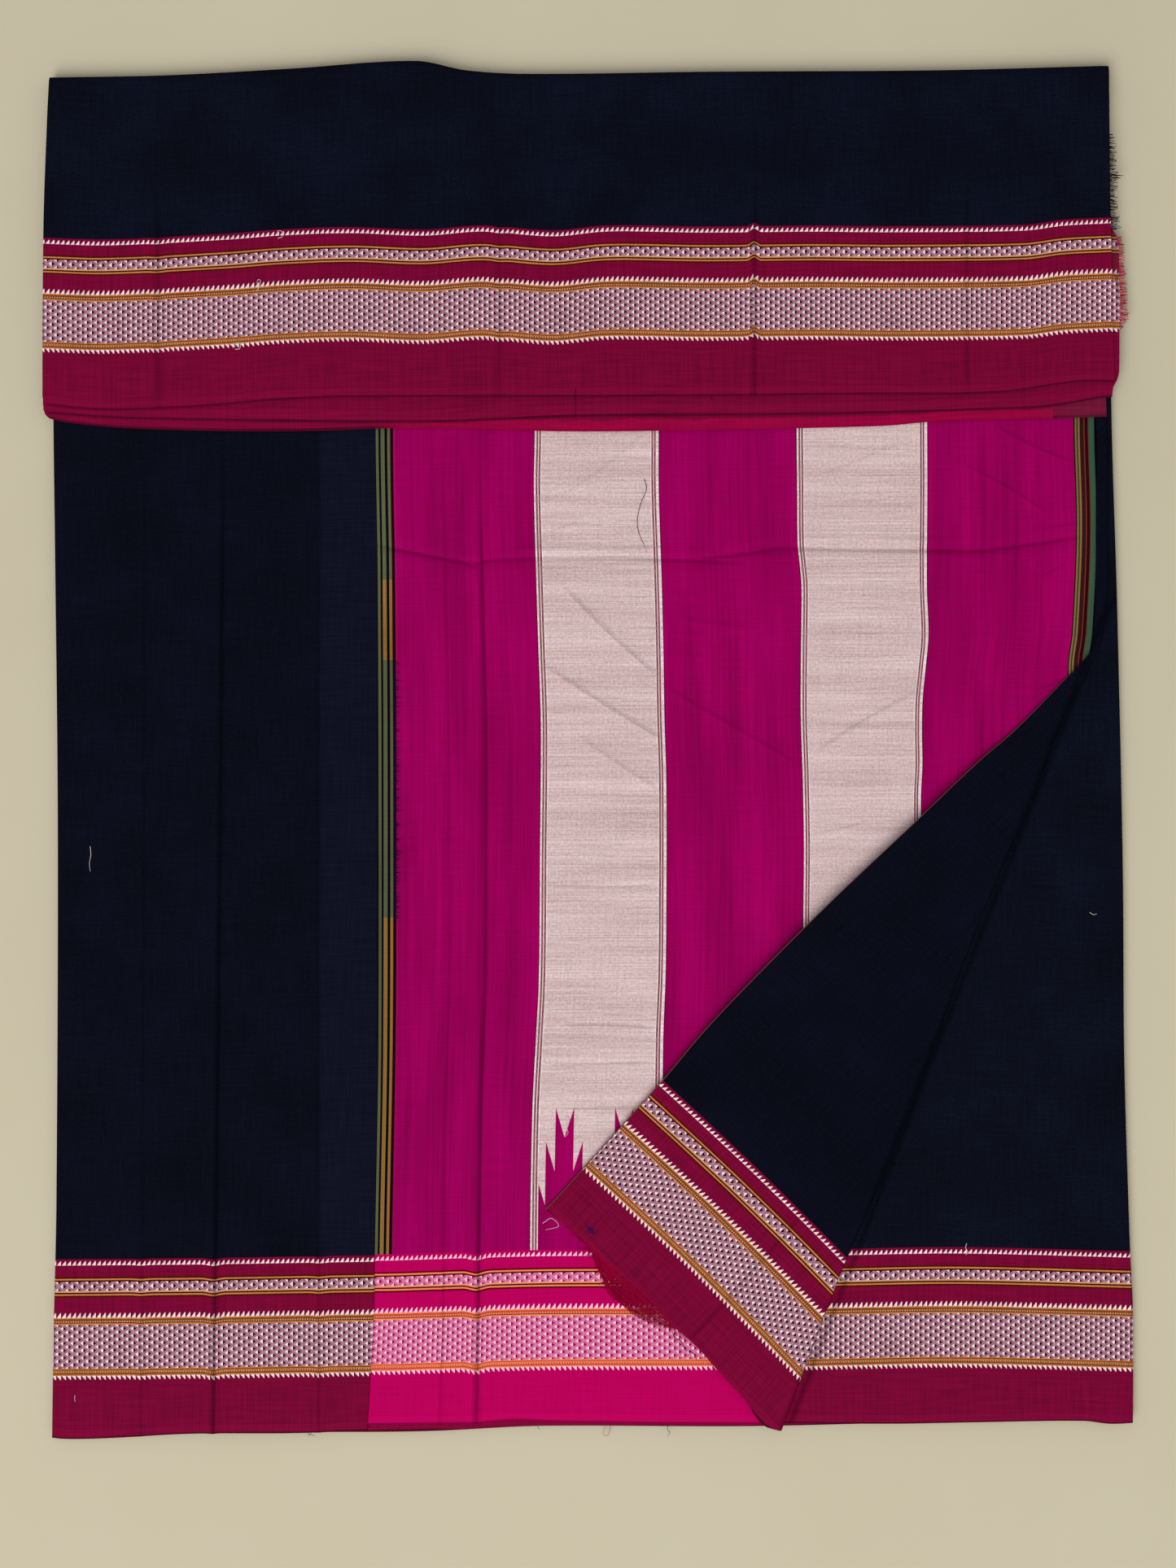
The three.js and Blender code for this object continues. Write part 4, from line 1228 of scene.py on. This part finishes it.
# Short threads left on the cloth: the height that each lies at, then points (x, y) along it
ON_FRONT = face(0) + 0.4
ON_BAND = face(3) + 0.4
AT_EDGE = 3
LOOSE_THREADS = {
    "white": [
        (ON_FRONT, [(-346.5, -67), (-346, -73), (-347, -79), (-346.4, -84.5)]),
        (ON_FRONT, [(-357, -448.5), (-357.3, -451), (-356.8, -453)]),
        (ON_FRONT, [(262.5, -343), (261.8, -346), (263.3, -349), (262, -351)]),
        (ON_FRONT, [(348, -113), (350.5, -114.5), (353, -114)]),
        (ON_BAND, [(-215.5, 354.5), (-212.5, 355.5), (-212.5, 359), (-215.5, 359.5), (-216, 356.5)]),
        (ON_BAND, [(-230, 318), (-228.5, 321), (-227.5, 325), (-229.5, 325.5), (-230, 321.5)]),
        (ON_BAND, [(-245, 277.5), (-242, 278), (-241.5, 281.5), (-244.5, 282), (-245.5, 279)]),
        (ON_FRONT, [(-17.5, -258), (-15, -255), (-13.5, -258), (-15.5, -262), (-14.5, -266), (-16.5, -269)]),
        (ON_FRONT, [(4, -281.5), (7, -280.5), (9, -282.5), (6.5, -284.5), (10, -286.5)]),
        (ON_FRONT, [(-32, -329), (-26, -325.5), (-21, -331), (-30, -333.5)]),
    ],
    "pink": [
        (AT_EDGE, [(13.5, -468), (14.8, -472), (13.6, -477), (10.6, -477.5), (10.2, -474), (12.4, -471)]),
    ],
    "dark": [
        (AT_EDGE, [(-199, -473), (-195, -476.5), (-191, -478)]),
        (AT_EDGE, [(-194, -473), (-193.5, -476), (-196, -478.3)]),
        (AT_EDGE, [(-35, -468), (-35.6, -471.5), (-34.4, -473.4)]),
        (AT_EDGE, [(56, -468.5), (54.6, -473), (56.3, -475.5), (54.8, -478.5)]),
        (ON_FRONT, [(58, -405), (60, -409), (64, -411), (67, -417), (72, -419), (75, -424)]),
        (ON_BAND, [(-9, 250), (-10, 243), (-9.3, 237), (-10.4, 229)]),
        (ON_BAND, [(84, 248), (85, 245), (84.2, 242)]),
        (ON_FRONT, [(38.5, 188), (40, 181), (36, 171), (33.6, 159), (35, 150), (38, 143), (40.4, 137)]),
    ],
}


def make_loose_threads(name, material):
    strands = []
    for height, places in LOOSE_THREADS[name]:
        places = np.array(places, float)
        keys = np.arange(len(places))
        at = np.linspace(0, len(places) - 1, 5 * len(places))
        path = [follow(list(zip(keys, places[:, axis])), at) for axis in (0, 1)]
        strands.append(raised_to(joined(*path), height))
    woven = [(0, k * 9) for k in range(len(strands))]
    yarn(f"{name}_threads", strands, woven, LOOSE_RADIUS, material)


def make_edge_thread():
    """The thread along the flap's cut end"""
    at, (end_x, end_y, _, _, _, lift) = flap_rows()
    shown = at > 5.5
    path = joined(end_x - 0.2, end_y + 0.2, face(1) + lift + 0.2 + 0.1 * np.sin(end_y / 3))
    yarn("flap_edge_thread", [path[shown]], [(0, 200)], EDGE_RADIUS, edge_thread)


# Floor, light and camera

VIEW_CENTRE = (-0.6, -23.8)
VIEW_HEIGHT = 1600  # the camera's distance from the cloth's face
VIEW_FACE = 7  # height of that face
VIEW_LONG = 1089.7  # length of the cloth's plane that the picture's long side takes in
SENSOR = 36


def make_floor():
    mesh = bpy.data.meshes.new("floor")
    mesh.from_pydata([(-6, -6, 0), (6, -6, 0), (6, 6, 0), (-6, 6, 0)], [], [(0, 1, 2, 3)])
    floor = add_object("floor", mesh)
    material = bpy.data.materials.new("pale_floor")
    material.use_nodes = True
    tree = material.node_tree
    place = made(tree, "TexCoord", {}).outputs["Object"]
    cloud = made(tree, "TexNoise", {"Scale": 7, "Detail": 4, "Vector": place})
    colour = blend(Number(cloud.outputs["Fac"]), srgb(199, 191, 167), srgb(206, 199, 176))
    shader = tree.nodes["Principled BSDF"]
    for name, term in {"Base Color": colour, "Roughness": 0.7, "Specular IOR Level": 0.2}.items():
        feed(term, shader.inputs[name])
    mesh.materials.append(material)


def make_lights():
    world = bpy.data.worlds.new("studio")
    world.use_nodes = True
    background = world.node_tree.nodes["Background"]
    background.inputs["Color"].default_value = (1, 0.98, 0.95, 1)
    background.inputs["Strength"].default_value = 0.51
    bpy.context.scene.world = world
    lamp = bpy.data.lights.new("key", "AREA")
    lamp.shape = "DISK"
    lamp.size = 6.4
    lamp.energy = 470
    lamp.color = (1, 0.985, 0.95)
    key = add_object("key", lamp)
    key.location = (-2.3, -5.2, 5.9)
    key.rotation_euler = (Vector((0, -0.1, 0)) - key.location).to_track_quat("-Z", "Y").to_euler()


def make_camera():
    data = bpy.data.cameras.new("camera")
    data.sensor_width = SENSOR
    data.lens = SENSOR * VIEW_HEIGHT / VIEW_LONG
    camera = add_object("camera", data)
    camera.location = (VIEW_CENTRE[0] * MM, VIEW_CENTRE[1] * MM, (VIEW_HEIGHT + VIEW_FACE) * MM)
    bpy.context.scene.camera = camera
    bpy.context.scene.view_settings.view_transform = "Standard"


make_floor()
make_lights()
make_camera()
make_stack()
make_body_left()
make_pallu()
make_body_right()
hem_cloth = field_material("hem_cloth")
sheer_cloth = field_material("sheer_cloth", sheer=(-150, 322, 4.5))
field_fringe = edge_fringe(
    "fringe_field", BAND_2_RIGHT, 361, 427, 2, 110,
    [(361, 9), (372, 7.5), (385, 7), (395, 8), (398, 12), (402, 7.5), (415, 7), (427, 6)],
    dark_thread,
)
border_fringe = edge_fringe(
    "fringe_border", BAND_3_RIGHT, 291, 356, 1, 124,
    [(291, 3), (297, 4.5), (302, 6.5), (310, 5.5), (327, 5.5), (345, 4.5), (356, 3.5)],
    frayed_border,
)
make_lower_band("band_3", 1, HEM_3, BAND_3_RIGHT, sheer_cloth)
make_lower_band("band_2", 2, HEM_2, BAND_2_RIGHT, hem_cloth)
make_band_1()
make_flap(flap_fringe())
for name, material in {"white": white_thread, "pink": pink_thread, "dark": dark_thread}.items():
    make_loose_threads(name, material)
make_edge_thread()
